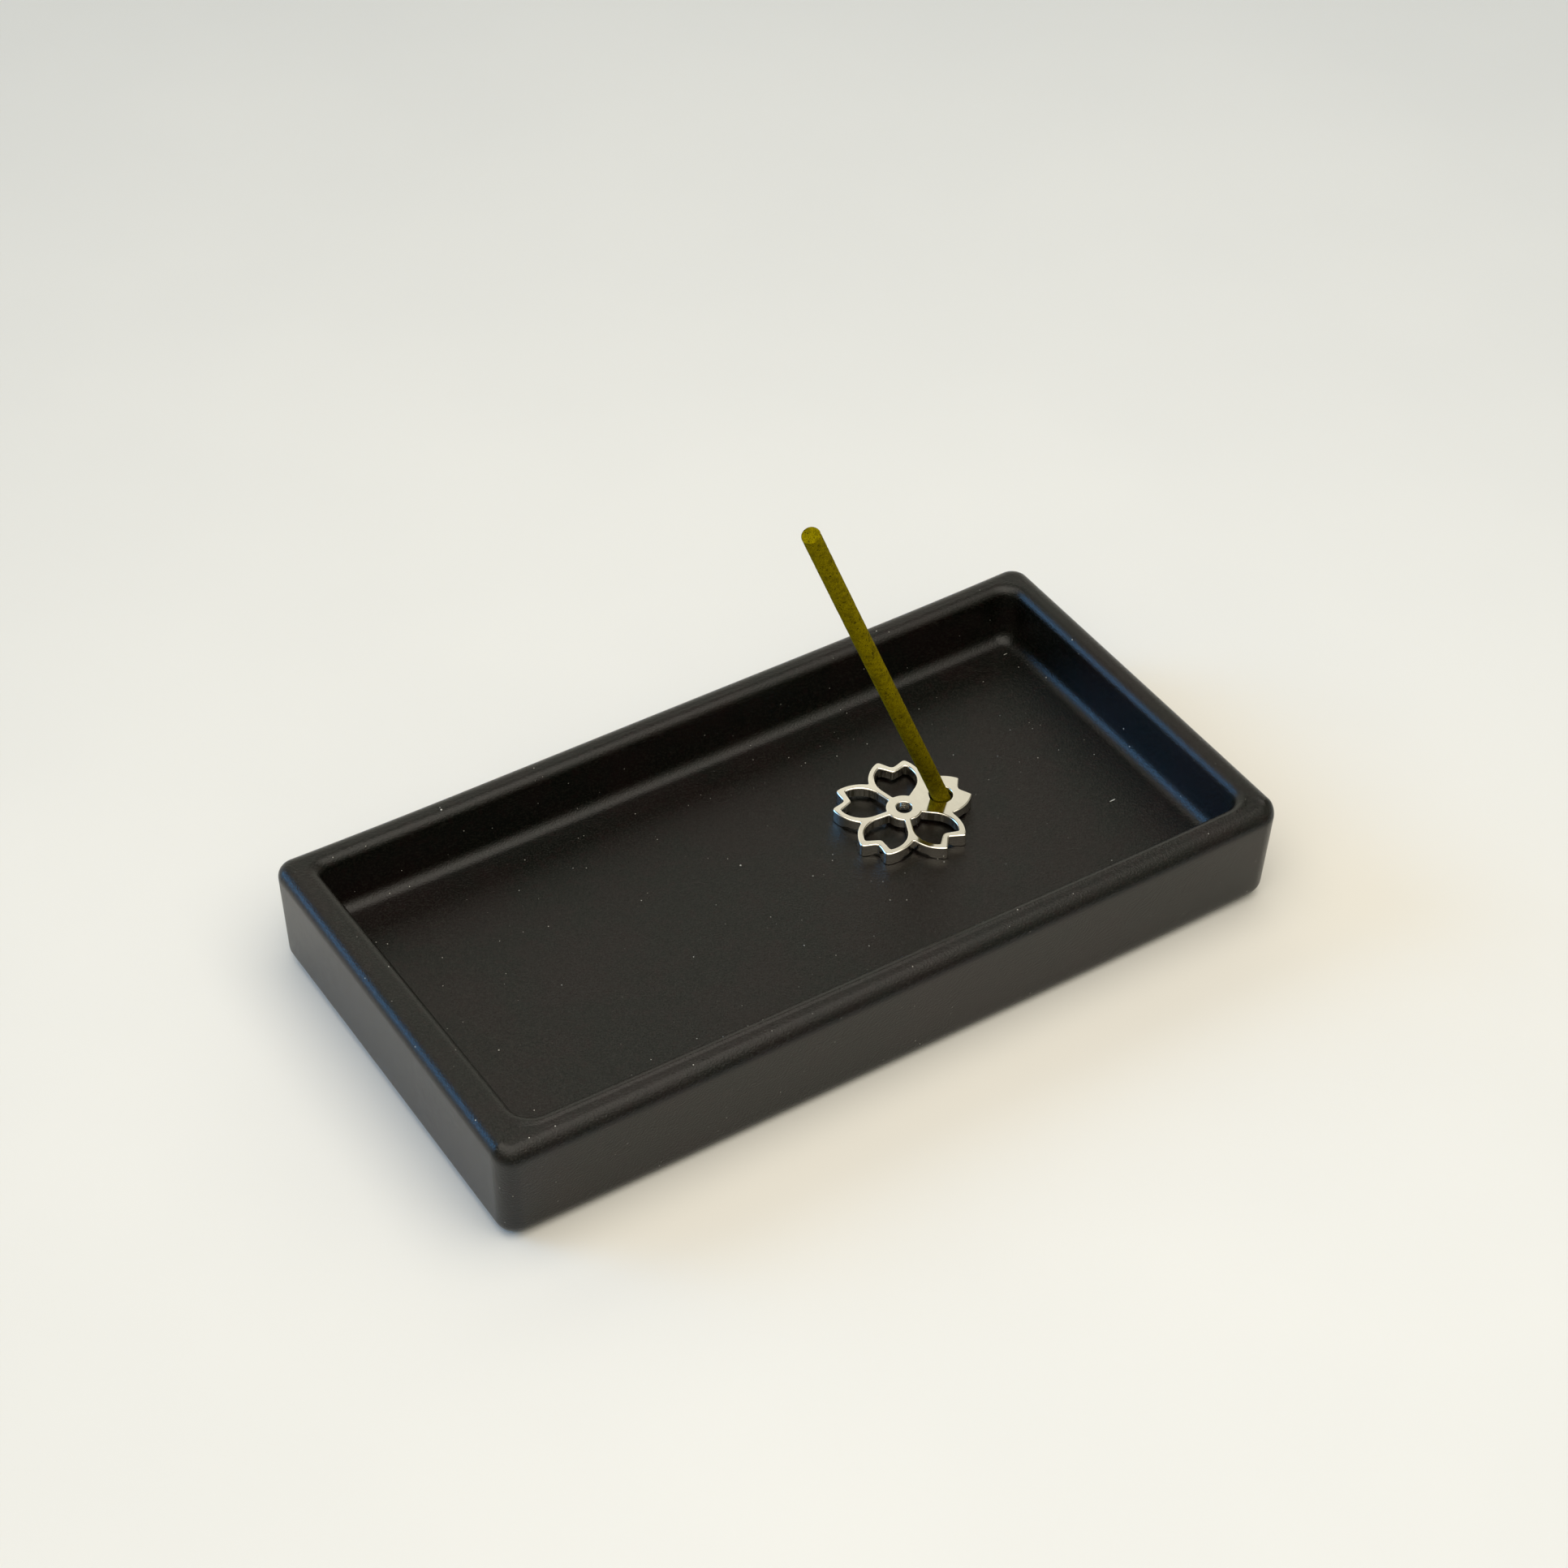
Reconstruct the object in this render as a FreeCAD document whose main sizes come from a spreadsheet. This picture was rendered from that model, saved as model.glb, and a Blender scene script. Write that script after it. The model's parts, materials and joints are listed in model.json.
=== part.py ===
import FreeCAD, Part
import math
import os
import Sketcher

# Incense burner: a glazed ceramic tray, a cast metal flower that lies loose on the tray's floor,
# and an incense stick that leans in the hole of the flower's one solid petal.
#
# Frame: millimetres, +Z up. The origin is the middle of the tray's foot, X runs along the tray.

PETALS = 5
OPEN_PETALS = 4

SIZES = {
    # tray, outside
    "tray_length": 135.0,
    "tray_width": 69.4,
    "tray_height": 18.0,
    "side_lean": 0.55,        # how far the foot's outline stands in from the top's, each side
    "plan_corner": 3.1,
    "outer_round": 2.0,
    "foot_round": 2.4,
    # tray, well
    "rim_width": 4.6,
    "well_depth": 9.6,
    "wall_lean": 0.4,         # how far the floor's outline stands in from the mouth's, each side
    "well_corner": 3.0,
    "lip_round": 1.8,
    "cove_round": 2.2,
    # tray, underside
    "foot_width": 7.0,
    "foot_recess": 2.5,
    "recess_corner": 3.0,
    # flower holder, place on the tray
    "holder_x": 23.6,
    "holder_y": 2.2,
    "holder_turn": -4.8,      # direction of the solid petal, degrees from +X
    # flower holder, outline of one petal, measured from the flower's centre
    "notch_reach": 9.25,
    "tip_reach": 11.05,
    "tip_spread": 10.6,       # degrees each side of the petal's middle line
    "cheek_reach": 9.6,
    "cheek_spread": 23.2,
    "valley_reach": 7.6,
    "tip_round": 0.45,
    "valley_round": 0.25,
    # flower holder, window of an open petal
    "hub_reach": 2.85,
    "spoke_width": 1.0,
    "spoke_length": 5.0,      # from the flower's centre to where the window's sides start to curve
    "window_tip_reach": 9.6,
    "window_tip_spread": 12.6,
    "window_notch_reach": 8.1,
    "window_round": 0.3,
    # flower holder, thickness and holes
    "holder_thick": 2.2,
    "relief_depth": 0.5,      # hollow of the underside, which leaves the petal ends as feet
    "relief_reach": 9.0,
    "edge_round": 0.2,
    "centre_hole": 2.5,
    "petal_hole_reach": 6.5,
    # incense stick
    "stick_diameter": 2.68,
    "stick_length": 87.2,
    "stick_lean": 27.3,       # degrees from upright
    "stick_heading": -156.2,  # degrees from +X, the way the top leans
    "stick_gap": 0.12,         # free space round the stick in its hole, and under its lowest point
    "stick_edge": 0.12,
}

doc = FreeCAD.newDocument("incense_burner")
sheet = doc.addObject("Spreadsheet::Sheet", "sizes")
for row, (name, value) in enumerate(SIZES.items(), start=1):
    sheet.set("A%d" % row, name)
    sheet.set("B%d" % row, str(value))
    sheet.setAlias("B%d" % row, name)
doc.recompute()

FLOOR = "(sizes.tray_height - sizes.well_depth)"
NEAR = 1e-3                   # two places closer than this are the same place


def size(name):
    """The value of a named size."""
    return getattr(sheet, name)


def value_of(expression):
    """The number that an expression of named sizes has now, in millimetres or degrees."""
    result = sheet.evalExpression(expression)
    return float(getattr(result, "Value", result))


def new_body(label):
    """An empty body, named as its file is."""
    body = doc.addObject("PartDesign::Body", label)
    body.Label = label
    return body


def origin_feature(body, role):
    """A plane or axis of the body's own origin."""
    for feature in body.Origin.OriginFeatures:
        if feature.Role == role:
            return feature
    raise RuntimeError("no %s in %s" % (role, body.Label))


def new_sketch(body, name, plane="XY_Plane", height="0"):
    """A sketch on one of the body's origin planes, raised by an expression of the sizes."""
    sketch = body.newObject("Sketcher::SketchObject", name)
    sketch.AttachmentSupport = [(origin_feature(body, plane), "")]
    sketch.MapMode = "FlatFace"
    sketch.setExpression("AttachmentOffset.Base.z", height)
    return sketch


def pin_point(sketch, geometry, corner, across, up, name):
    """Hold one end of a curve at a place given by two expressions."""
    places = (("DistanceX", across, "_x"), ("DistanceY", up, "_y"))
    for kind, expression, ending in places:
        if expression == "0":
            axis = -2 if kind == "DistanceX" else -1
            sketch.addConstraint(Sketcher.Constraint("PointOnObject", geometry, corner, axis))
            continue
        number = value_of(expression)
        rule = Sketcher.Constraint(kind, -1, 1, geometry, corner, number)
        index = sketch.addConstraint(rule)
        sketch.renameConstraint(index, name + ending)
        sketch.setExpression("Constraints." + name + ending, expression)


def draw_loop(sketch, corners, sides):
    """Draw a closed outline.

    corners holds (name, x, y) with x and y as expressions; sides holds, for each corner, None for
    a straight side to the next corner or (name, x, y) for a point that an arc passes through.
    """
    count = len(corners)
    spots = [FreeCAD.Vector(value_of(x), value_of(y), 0) for _, x, y in corners]
    for index, side in enumerate(sides):
        start, end = spots[index], spots[(index + 1) % count]
        if side is None:
            sketch.addGeometry(Part.LineSegment(start, end), False)
            continue
        middle = FreeCAD.Vector(value_of(side[1]), value_of(side[2]), 0)
        sketch.addGeometry(Part.Arc(start, middle, end), False)
    ends = [curve_ends(sketch, index, spots[index]) for index in range(count)]
    for index in range(count):
        following = (index + 1) % count
        rule = Sketcher.Constraint("Coincident", index, ends[index][1], following, ends[following][0])
        sketch.addConstraint(rule)
    for index, (name, x, y) in enumerate(corners):
        pin_point(sketch, index, ends[index][0], x, y, name)
    for index, side in enumerate(sides):
        if side is None:
            continue
        middle = FreeCAD.Vector(value_of(side[1]), value_of(side[2]), 0)
        point = sketch.addGeometry(Part.Point(middle), True)
        pin_point(sketch, point, 1, side[1], side[2], side[0])
        sketch.addConstraint(Sketcher.Constraint("PointOnObject", point, 1, index))


def curve_ends(sketch, index, start):
    """Which end of a sketch curve, 1 or 2, lies at its outline's start, and which at its end."""
    first = sketch.getPoint(index, 1)
    if (first - start).Length < 1e-4:
        return 1, 2
    return 2, 1


def draw_rectangle(sketch, half_x, half_y):
    """A rectangle about the origin from two expressions."""
    corners = [
        ("right_front", half_x, "-1 * " + half_y),
        ("right_back", half_x, half_y),
        ("left_back", "-1 * " + half_x, half_y),
        ("left_front", "-1 * " + half_x, "-1 * " + half_y),
    ]
    draw_loop(sketch, corners, [None] * 4)


def draw_circle(sketch, x, y, diameter):
    """A full circle from three expressions."""
    centre = FreeCAD.Vector(value_of(x), value_of(y), 0)
    circle = Part.Circle(centre, FreeCAD.Vector(0, 0, 1), value_of(diameter) / 2)
    sketch.addGeometry(circle, False)
    if x == "0" and y == "0":
        sketch.addConstraint(Sketcher.Constraint("Coincident", 0, 3, -1, 1))
    else:
        pin_point(sketch, 0, 3, x, y, "centre")
    index = sketch.addConstraint(Sketcher.Constraint("Diameter", 0, value_of(diameter)))
    sketch.renameConstraint(index, "diameter")
    sketch.setExpression("Constraints.diameter", diameter)


def pad(body, name, sketch, length, taper="0"):
    """A pad whose length and outward taper, in degrees, are expressions."""
    feature = body.newObject("PartDesign::Pad", name)
    feature.Profile = sketch
    feature.setExpression("Length", length)
    feature.setExpression("TaperAngle", taper)
    doc.recompute()
    return feature


def pocket(body, name, sketch, depth, upward=False, taper="0"):
    """A pocket whose depth and outward taper are expressions, checked to have cut something."""
    before = body.Shape.Volume
    feature = body.newObject("PartDesign::Pocket", name)
    feature.Profile = sketch
    feature.setExpression("Length", depth)
    feature.setExpression("TaperAngle", taper)
    feature.Reversed = upward
    doc.recompute()
    if feature.Shape.isNull() or not 1e-3 < before - feature.Shape.Volume < before:
        raise RuntimeError("%s cut nothing" % name)
    return feature


def polar_pattern(body, name, original, occurrences, angle):
    """Repeat one feature about the body's own Z axis, as the body's tip."""
    feature = body.newObject("PartDesign::PolarPattern", name)
    feature.Originals = [original]
    feature.Axis = (origin_feature(body, "Z_Axis"), [""])
    feature.Angle = angle
    feature.Occurrences = occurrences
    body.Tip = feature
    doc.recompute()
    return feature


def edge_names(shape, keep):
    """Names of the edges that a test keeps. The test sees the edge's box and the edge."""
    return ["Edge%d" % number for number, edge in enumerate(shape.Edges, start=1)
            if keep(edge.BoundBox, edge)]


def dress(body, kind, name, radius, keep):
    """Round (Fillet) or bevel (Chamfer) the edges of the body's tip that a test keeps."""
    base = body.Tip
    names = edge_names(base.Shape, keep)
    if not names:
        raise RuntimeError("no edges for %s" % name)
    feature = body.newObject("PartDesign::" + kind, name)
    feature.Base = (base, names)
    feature.setExpression("Radius" if kind == "Fillet" else "Size", radius)
    doc.recompute()
    if "Invalid" in feature.State or feature.Shape.isNull():
        raise RuntimeError("%s failed" % name)
    return feature


def is_flat_at(box, height):
    """True for an edge that lies wholly at one height."""
    return abs(box.ZMin - height) < NEAR and abs(box.ZMax - height) < NEAR


def is_upright(box, low, high):
    """True for an edge that runs from one height to another."""
    return abs(box.ZMin - low) < NEAR and abs(box.ZMax - high) < NEAR


def furthest(box):
    """Largest distance of a box's corners from the X and Y planes, as a pair."""
    return max(abs(box.XMin), abs(box.XMax)), max(abs(box.YMin), abs(box.YMax))


def is_within(box, half_x, half_y):
    """True for an edge inside a rectangle about the origin."""
    reach_x, reach_y = furthest(box)
    return reach_x < half_x + NEAR and reach_y < half_y + NEAR


def reaches(box, half_x, half_y):
    """True for an edge that touches a side of a rectangle about the origin."""
    reach_x, reach_y = furthest(box)
    return reach_x > half_x - NEAR or reach_y > half_y - NEAR


def is_corner_at(box, edge, thick, reaches_wanted):
    """True for an upright edge of the flower at one of the wanted distances from its centre."""
    middle = edge.valueAt((edge.FirstParameter + edge.LastParameter) / 2)
    reach = math.hypot(middle.x, middle.y)
    wanted = any(abs(reach - other) < NEAR for other in reaches_wanted)
    return wanted and is_upright(box, 0, thick)


def build_tray():
    """The tray: leaning sides, rounded rim, a coved well and a foot ring under it."""
    body = new_body("tray")
    foot_x = "(sizes.tray_length / 2 - sizes.side_lean)"
    foot_y = "(sizes.tray_width / 2 - sizes.side_lean)"
    foot = new_sketch(body, "foot_outline")
    draw_rectangle(foot, foot_x, foot_y)
    pad(body, "block", foot, "sizes.tray_height", "atan(sizes.side_lean / sizes.tray_height)")
    height = size("tray_height")
    dress(body, "Fillet", "plan_corners", "sizes.plan_corner",
          lambda box, edge: is_upright(box, 0, height))

    mouth_x = "(sizes.tray_length / 2 - sizes.rim_width)"
    mouth_y = "(sizes.tray_width / 2 - sizes.rim_width)"
    mouth = new_sketch(body, "mouth_outline", height="sizes.tray_height")
    draw_rectangle(mouth, mouth_x, mouth_y)
    pocket(body, "well", mouth, "sizes.well_depth",
           taper="-1 * atan(sizes.wall_lean / sizes.well_depth)")
    floor_z = value_of(FLOOR)
    dress(body, "Fillet", "well_corners", "sizes.well_corner",
          lambda box, edge: is_upright(box, floor_z, height))
    dress(body, "Fillet", "cove", "sizes.cove_round",
          lambda box, edge: is_flat_at(box, floor_z))
    mouth_spot = (value_of(mouth_x), value_of(mouth_y))
    dress(body, "Fillet", "lip", "sizes.lip_round",
          lambda box, edge: is_flat_at(box, height) and is_within(box, *mouth_spot))
    rim_spot = (size("tray_length") / 2, size("tray_width") / 2)
    dress(body, "Fillet", "outer_edge", "sizes.outer_round",
          lambda box, edge: is_flat_at(box, height) and reaches(box, *rim_spot))
    dress(body, "Fillet", "foot_edge", "sizes.foot_round",
          lambda box, edge: is_flat_at(box, 0))

    recess = new_sketch(body, "recess_outline")
    draw_rectangle(recess, "(%s - sizes.foot_width)" % foot_x, "(%s - sizes.foot_width)" % foot_y)
    pocket(body, "foot_recess", recess, "sizes.foot_recess", upward=True)
    recess_top = size("foot_recess")
    dress(body, "Fillet", "recess_corners", "sizes.recess_corner",
          lambda box, edge: is_upright(box, 0, recess_top))
    return body


def polar(reach, spread):
    """Expressions for a point at a distance and an angle from the flower's centre."""
    return "%s * cos(%s)" % (reach, spread), "%s * sin(%s)" % (reach, spread)


def petal_corner(name, reach, spread, side):
    """One named corner of a petal; side is 1 or -1 for the two sides of its middle line."""
    x, y = polar(reach, spread)
    return name, x, y if side > 0 else "-1 * " + y


HALF_STEP = "(%g deg)" % (180 / PETALS)
SPOKE_EDGE = "(sizes.spoke_width / 2)"
# The window's side leaves the spoke's edge as an arc that touches it and ends at the window's tip.
TIP_TURN = "(%s - sizes.window_tip_spread * 1 deg)" % HALF_STEP
SIDE_RUN = "(sizes.window_tip_reach * cos(%s) - sizes.spoke_length)" % TIP_TURN
SIDE_RISE = "(sizes.window_tip_reach * sin(%s) - %s)" % (TIP_TURN, SPOKE_EDGE)
SIDE_RADIUS = "((%s ^ 2 + %s ^ 2) / (2 * %s))" % (SIDE_RUN, SIDE_RISE, SIDE_RISE)
SIDE_TURN = "atan(%s / %s)" % (SIDE_RISE, SIDE_RUN)
SIDE_MIDDLE = ("(sizes.spoke_length + %s * sin(%s))" % (SIDE_RADIUS, SIDE_TURN),
               "(%s + %s * (1 - cos(%s)))" % (SPOKE_EDGE, SIDE_RADIUS, SIDE_TURN))


def spoke_corner(name, along, aside, side):
    """A place measured along the spoke beside the petal, and from it towards the petal."""
    x = "(%s * cos(%s) + %s * sin(%s))" % (along, HALF_STEP, aside, HALF_STEP)
    y = "(%s * sin(%s) - %s * cos(%s))" % (along, HALF_STEP, aside, HALF_STEP)
    return (name, x, y if side > 0 else "(-1 * %s)" % y)


def build_holder():
    """The flower: five notched petals, four of them cut open, on a hub with a hole."""
    body = new_body("flower_holder")
    tip_at = ("sizes.tip_reach", "(sizes.tip_spread * 1 deg)")
    cheek_at = ("sizes.cheek_reach", "(sizes.cheek_spread * 1 deg)")
    valley_at = ("sizes.valley_reach", HALF_STEP)
    petal = new_sketch(body, "petal_outline")
    corners = [
        ("centre", "0", "0"),
        petal_corner("low_valley", *valley_at, -1),
        petal_corner("low_tip", *tip_at, -1),
        ("notch", "sizes.notch_reach", "0"),
        petal_corner("high_tip", *tip_at, 1),
        petal_corner("high_valley", *valley_at, 1),
    ]
    sides = [None, petal_corner("low_cheek", *cheek_at, -1), None, None,
             petal_corner("high_cheek", *cheek_at, 1), None]
    draw_loop(petal, corners, sides)
    one_petal = pad(body, "petal", petal, "sizes.holder_thick")
    polar_pattern(body, "petals", one_petal, PETALS, 360)

    window = new_sketch(body, "window_outline")
    base_at = ("sqrt(sizes.hub_reach ^ 2 - %s ^ 2)" % SPOKE_EDGE, SPOKE_EDGE)
    bend_at = ("sizes.spoke_length", SPOKE_EDGE)
    window_tip_at = ("sizes.window_tip_reach", "(sizes.window_tip_spread * 1 deg)")
    corners = [
        spoke_corner("low_base", *base_at, -1),
        spoke_corner("low_bend", *bend_at, -1),
        petal_corner("low_window_tip", *window_tip_at, -1),
        ("window_notch", "sizes.window_notch_reach", "0"),
        petal_corner("high_window_tip", *window_tip_at, 1),
        spoke_corner("high_bend", *bend_at, 1),
        spoke_corner("high_base", *base_at, 1),
    ]
    sides = [None, spoke_corner("low_side", *SIDE_MIDDLE, -1), None, None,
             spoke_corner("high_side", *SIDE_MIDDLE, 1), None, ("hub", "sizes.hub_reach", "0")]
    draw_loop(window, corners, sides)
    step = 360 / PETALS
    window.AttachmentOffset = FreeCAD.Placement(
        FreeCAD.Vector(0, 0, 0), FreeCAD.Rotation(FreeCAD.Vector(0, 0, 1), step))
    one_window = pocket(body, "window", window, "sizes.holder_thick", upward=True)
    polar_pattern(body, "windows", one_window, OPEN_PETALS, step * (OPEN_PETALS - 1))

    thick = size("holder_thick")
    corner_sets = (
        ("petal_corners", "sizes.tip_round", ("tip_reach", "notch_reach")),
        ("valleys", "sizes.valley_round", ("valley_reach",)),
        ("window_corners", "sizes.window_round",
         ("hub_reach", "window_tip_reach", "window_notch_reach")),
    )
    for name, radius, reach_names in corner_sets:
        reaches_wanted = [size(reach_name) for reach_name in reach_names]
        dress(body, "Fillet", name, radius,
              lambda box, edge: is_corner_at(box, edge, thick, reaches_wanted))

    relief = new_sketch(body, "relief_outline")
    draw_circle(relief, "0", "0", "2 * sizes.relief_reach")
    pocket(body, "relief", relief, "sizes.relief_depth", upward=True)
    centre = new_sketch(body, "centre_hole_outline")
    draw_circle(centre, "0", "0", "sizes.centre_hole")
    pocket(body, "centre_hole", centre, "sizes.holder_thick", upward=True)
    petal_hole = new_sketch(body, "petal_hole_outline")
    draw_circle(petal_hole, "sizes.petal_hole_reach", "0", PETAL_HOLE)
    pocket(body, "petal_hole", petal_hole, "sizes.holder_thick", upward=True)
    dress(body, "Fillet", "polished_edges", "sizes.edge_round",
          lambda box, edge: is_flat_at(box, thick))

    turn = FreeCAD.Rotation(FreeCAD.Vector(0, 0, 1), size("holder_turn"))
    body.Placement = FreeCAD.Placement(FreeCAD.Vector(0, 0, 0), turn)
    body.setExpression("Placement.Base.x", "sizes.holder_x * 1 mm")
    body.setExpression("Placement.Base.y", "sizes.holder_y * 1 mm")
    body.setExpression("Placement.Base.z", FLOOR + " * 1 mm")
    body.setExpression("Placement.Rotation.Angle", "sizes.holder_turn * 1 deg")
    return body


LEAN = "(sizes.stick_lean * 1 deg)"
HEADING = "(sizes.stick_heading * 1 deg)"
TURN = "(sizes.holder_turn * 1 deg)"
# The stick's end is cut square, so on the far side from the lean its rim stands this high above
# the floor. Below that, or below the relief, the stick and the plate can't meet on that side.
CLEAR_HEIGHT = ("max(sizes.relief_depth; sizes.stick_diameter * sin(%s) + sizes.stick_gap)" % LEAN)
# The stick's slanted section and its shift over the rest of the plate have to fit in the hole.
PETAL_HOLE = ("(sizes.stick_diameter / cos(%s) + (sizes.holder_thick - %s) * tan(%s)"
              " + 2 * sizes.stick_gap)" % (LEAN, CLEAR_HEIGHT, LEAN))


def build_stick():
    """The stick: a plain rod that leans in the petal hole and ends just above the floor."""
    body = new_body("incense_stick")
    section = new_sketch(body, "section")
    draw_circle(section, "0", "0", "sizes.stick_diameter")
    pad(body, "rod", section, "sizes.stick_length")
    length = size("stick_length")
    dress(body, "Chamfer", "worn_ends", "sizes.stick_edge",
          lambda box, edge: is_flat_at(box, 0) or is_flat_at(box, length))

    # The axis crosses the hole's own axis half way up the heights where the two could meet. From
    # there it runs down to the point where the rod's lower rim is one gap above the tray's floor.
    end_height = "(sizes.stick_diameter / 2 * sin(%s) + sizes.stick_gap)" % LEAN
    middle_height = "((%s + sizes.holder_thick) / 2)" % CLEAR_HEIGHT
    back = "((%s - %s) * tan(%s))" % (middle_height, end_height, LEAN)
    x = ("sizes.holder_x + sizes.petal_hole_reach * cos(%s) - %s * cos(%s)"
         % (TURN, back, HEADING))
    y = ("sizes.holder_y + sizes.petal_hole_reach * sin(%s) - %s * sin(%s)"
         % (TURN, back, HEADING))
    heading = FreeCAD.Rotation(FreeCAD.Vector(0, 0, 1), size("stick_heading"))
    lean = FreeCAD.Rotation(FreeCAD.Vector(0, 1, 0), size("stick_lean"))
    body.Placement = FreeCAD.Placement(FreeCAD.Vector(0, 0, 0), heading * lean)
    body.setExpression("Placement.Base.x", "(%s) * 1 mm" % x)
    body.setExpression("Placement.Base.y", "(%s) * 1 mm" % y)
    body.setExpression("Placement.Base.z", "(%s + %s) * 1 mm" % (FLOOR, end_height))
    return body


def check_and_export(bodies):
    """Stop on any failed feature or unsound solid, then write one STEP file a body."""
    doc.recompute()
    for item in doc.Objects:
        if "Invalid" in item.State or "Error" in item.State:
            raise RuntimeError("%s is %s" % (item.Name, item.State))
    for body in bodies:
        shape = body.Shape
        if shape.isNull() or not shape.isValid() or len(shape.Solids) != 1:
            raise RuntimeError("%s is not one sound solid" % body.Label)
        box = shape.BoundBox
        print("%-14s volume %9.2f mm3  box %7.2f %7.2f %7.2f to %7.2f %7.2f %7.2f"
              % (body.Label, shape.Volume, box.XMin, box.YMin, box.ZMin,
                 box.XMax, box.YMax, box.ZMax))
    os.makedirs("parts", exist_ok=True)
    for body in bodies:
        body.Shape.exportStep("parts/%s.step" % body.Label)


check_and_export([build_tray(), build_holder(), build_stick()])
print("petal hole diameter %.3f mm" % value_of(PETAL_HOLE))
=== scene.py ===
import json
import logging
import math
from dataclasses import dataclass, field
from enum import Enum

import bpy
import numpy as np
from mathutils import Matrix, Vector
from mathutils.geometry import delaunay_2d_cdt


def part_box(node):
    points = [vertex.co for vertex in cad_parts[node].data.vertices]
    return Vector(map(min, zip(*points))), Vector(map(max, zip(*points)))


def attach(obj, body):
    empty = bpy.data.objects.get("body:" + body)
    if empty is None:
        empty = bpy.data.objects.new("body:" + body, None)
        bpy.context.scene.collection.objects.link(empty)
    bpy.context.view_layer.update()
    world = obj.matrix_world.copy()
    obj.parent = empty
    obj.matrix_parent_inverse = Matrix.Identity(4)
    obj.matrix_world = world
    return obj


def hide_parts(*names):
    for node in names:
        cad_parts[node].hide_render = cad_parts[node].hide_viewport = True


# Incense burner in metres, +Z up, X along the tray. A black satin tray, a polished flower that
# lies on its floor, and an incense stick that leans in the flower's solid petal.

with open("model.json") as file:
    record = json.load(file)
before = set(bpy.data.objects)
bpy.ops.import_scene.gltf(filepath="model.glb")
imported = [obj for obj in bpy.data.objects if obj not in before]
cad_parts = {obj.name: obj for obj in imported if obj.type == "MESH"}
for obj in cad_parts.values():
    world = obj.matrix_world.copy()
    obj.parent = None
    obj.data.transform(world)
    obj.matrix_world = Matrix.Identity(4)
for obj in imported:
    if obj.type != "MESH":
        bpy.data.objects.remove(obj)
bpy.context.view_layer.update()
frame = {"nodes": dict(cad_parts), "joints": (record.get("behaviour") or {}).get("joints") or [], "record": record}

MM = 0.001
norm = np.linalg.norm
Array = np.ndarray
Socket = bpy.types.NodeSocket
Triple = tuple[float, float, float]
Span = tuple[float, float]
log = logging.getLogger("incense_burner")


class Body(Enum):
    """The moving bodies that pieces ride on."""

    TRAY = "tray"
    HOLDER = "holder"
    STICK = "stick"


class Slot(Enum):
    """The finishes that the record names."""

    GLAZE = "black_glaze"
    METAL = "polished_metal"
    INCENSE = "incense_paste"


# ---------------------------------------------------------------- meshes


@dataclass
class Surface:
    """Points, faces and, where they are known exactly, normals of one mesh.

    Attributes:
        points: one row of x, y, z for each vertex, in metres.
        faces: vertex numbers of each face, outside seen counter-clockwise.
        normals: a unit row for each vertex, or None to average them.
        finish: material number of each face, or None for the first.
        marks: named numbers, one for each vertex, that the finish reads.
    """

    points: Array
    faces: list
    normals: Array | None = None
    finish: Array | None = None
    marks: dict[str, Array] = field(default_factory=dict)

    def to_object(self, name: str) -> bpy.types.Object:
        """Make a smooth-shaded object at the origin.

        Args:
            name: the piece's name.

        Returns:
            The linked object.
        """
        mesh = bpy.data.meshes.new(name)
        mesh.from_pydata(self.points.tolist(), [], self.faces)
        mesh.update()
        mesh.shade_smooth()
        if self.finish is not None:
            mesh.polygons.foreach_set("material_index", self.finish.astype(np.int32))
        for title, values in self.marks.items():
            mesh.attributes.new(title, "FLOAT", "POINT").data.foreach_set("value", values)
        if self.normals is not None:
            mesh.normals_split_custom_set_from_vertices(self.normals.tolist())
        piece = bpy.data.objects.new(name, mesh)
        bpy.context.scene.collection.objects.link(piece)
        return piece


def grid_quads(rows: int, columns: int, start: int = 0) -> Array:
    """Quads of a grid whose columns close into a ring.

    Args:
        rows: number of rings.
        columns: points in each ring.
        start: number of the first vertex.

    Returns:
        An array of quads.
    """
    row, column = np.meshgrid(np.arange(rows - 1), np.arange(columns), indexing="ij")
    after = (column + 1) % columns
    quads = (row * columns + column, row * columns + after,
             (row + 1) * columns + after, (row + 1) * columns + column)
    return np.stack(quads, axis=-1).reshape(-1, 4) + start


def pole_triangles(ring: Array, pole: int, flip: bool) -> Array:
    """Triangles that close a ring of vertices with one middle vertex.

    Args:
        ring: vertex numbers of the ring, in order.
        pole: number of the middle vertex.
        flip: True to turn them over.

    Returns:
        A triangle for each side of the ring.
    """
    after = np.roll(ring, -1)
    middle = np.full_like(ring, pole)
    parts = (after, ring, middle) if flip else (ring, after, middle)
    return np.stack(parts, axis=-1)


def smooth_noise(shape: tuple[int, int], width: tuple[float, float], seed: int) -> Array:
    """Seeded noise that wraps round both ways, blurred in the frequency domain.

    Args:
        shape: rows and columns.
        width: blur in rows and in columns, in samples.
        seed: seed of the random draw.

    Returns:
        Values with a mean of 0 and a spread of 1.
    """
    draw = np.random.default_rng(seed).normal(size=shape)
    along = np.fft.fftfreq(shape[0])[:, None]
    across = np.fft.fftfreq(shape[1])[None, :]
    fall = np.exp(-2 * (math.pi * width[0] * along) ** 2 - 2 * (math.pi * width[1] * across) ** 2)
    field = np.fft.ifft2(np.fft.fft2(draw) * fall).real
    field -= field.mean()
    return field / field.std()


def smoothstep(low: float, high: float, value: Array) -> Array:
    """Rise from 0 at low to 1 at high with level ends."""
    part = np.clip((value - low) / (high - low), 0, 1)
    return part * part * (3 - 2 * part)


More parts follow.
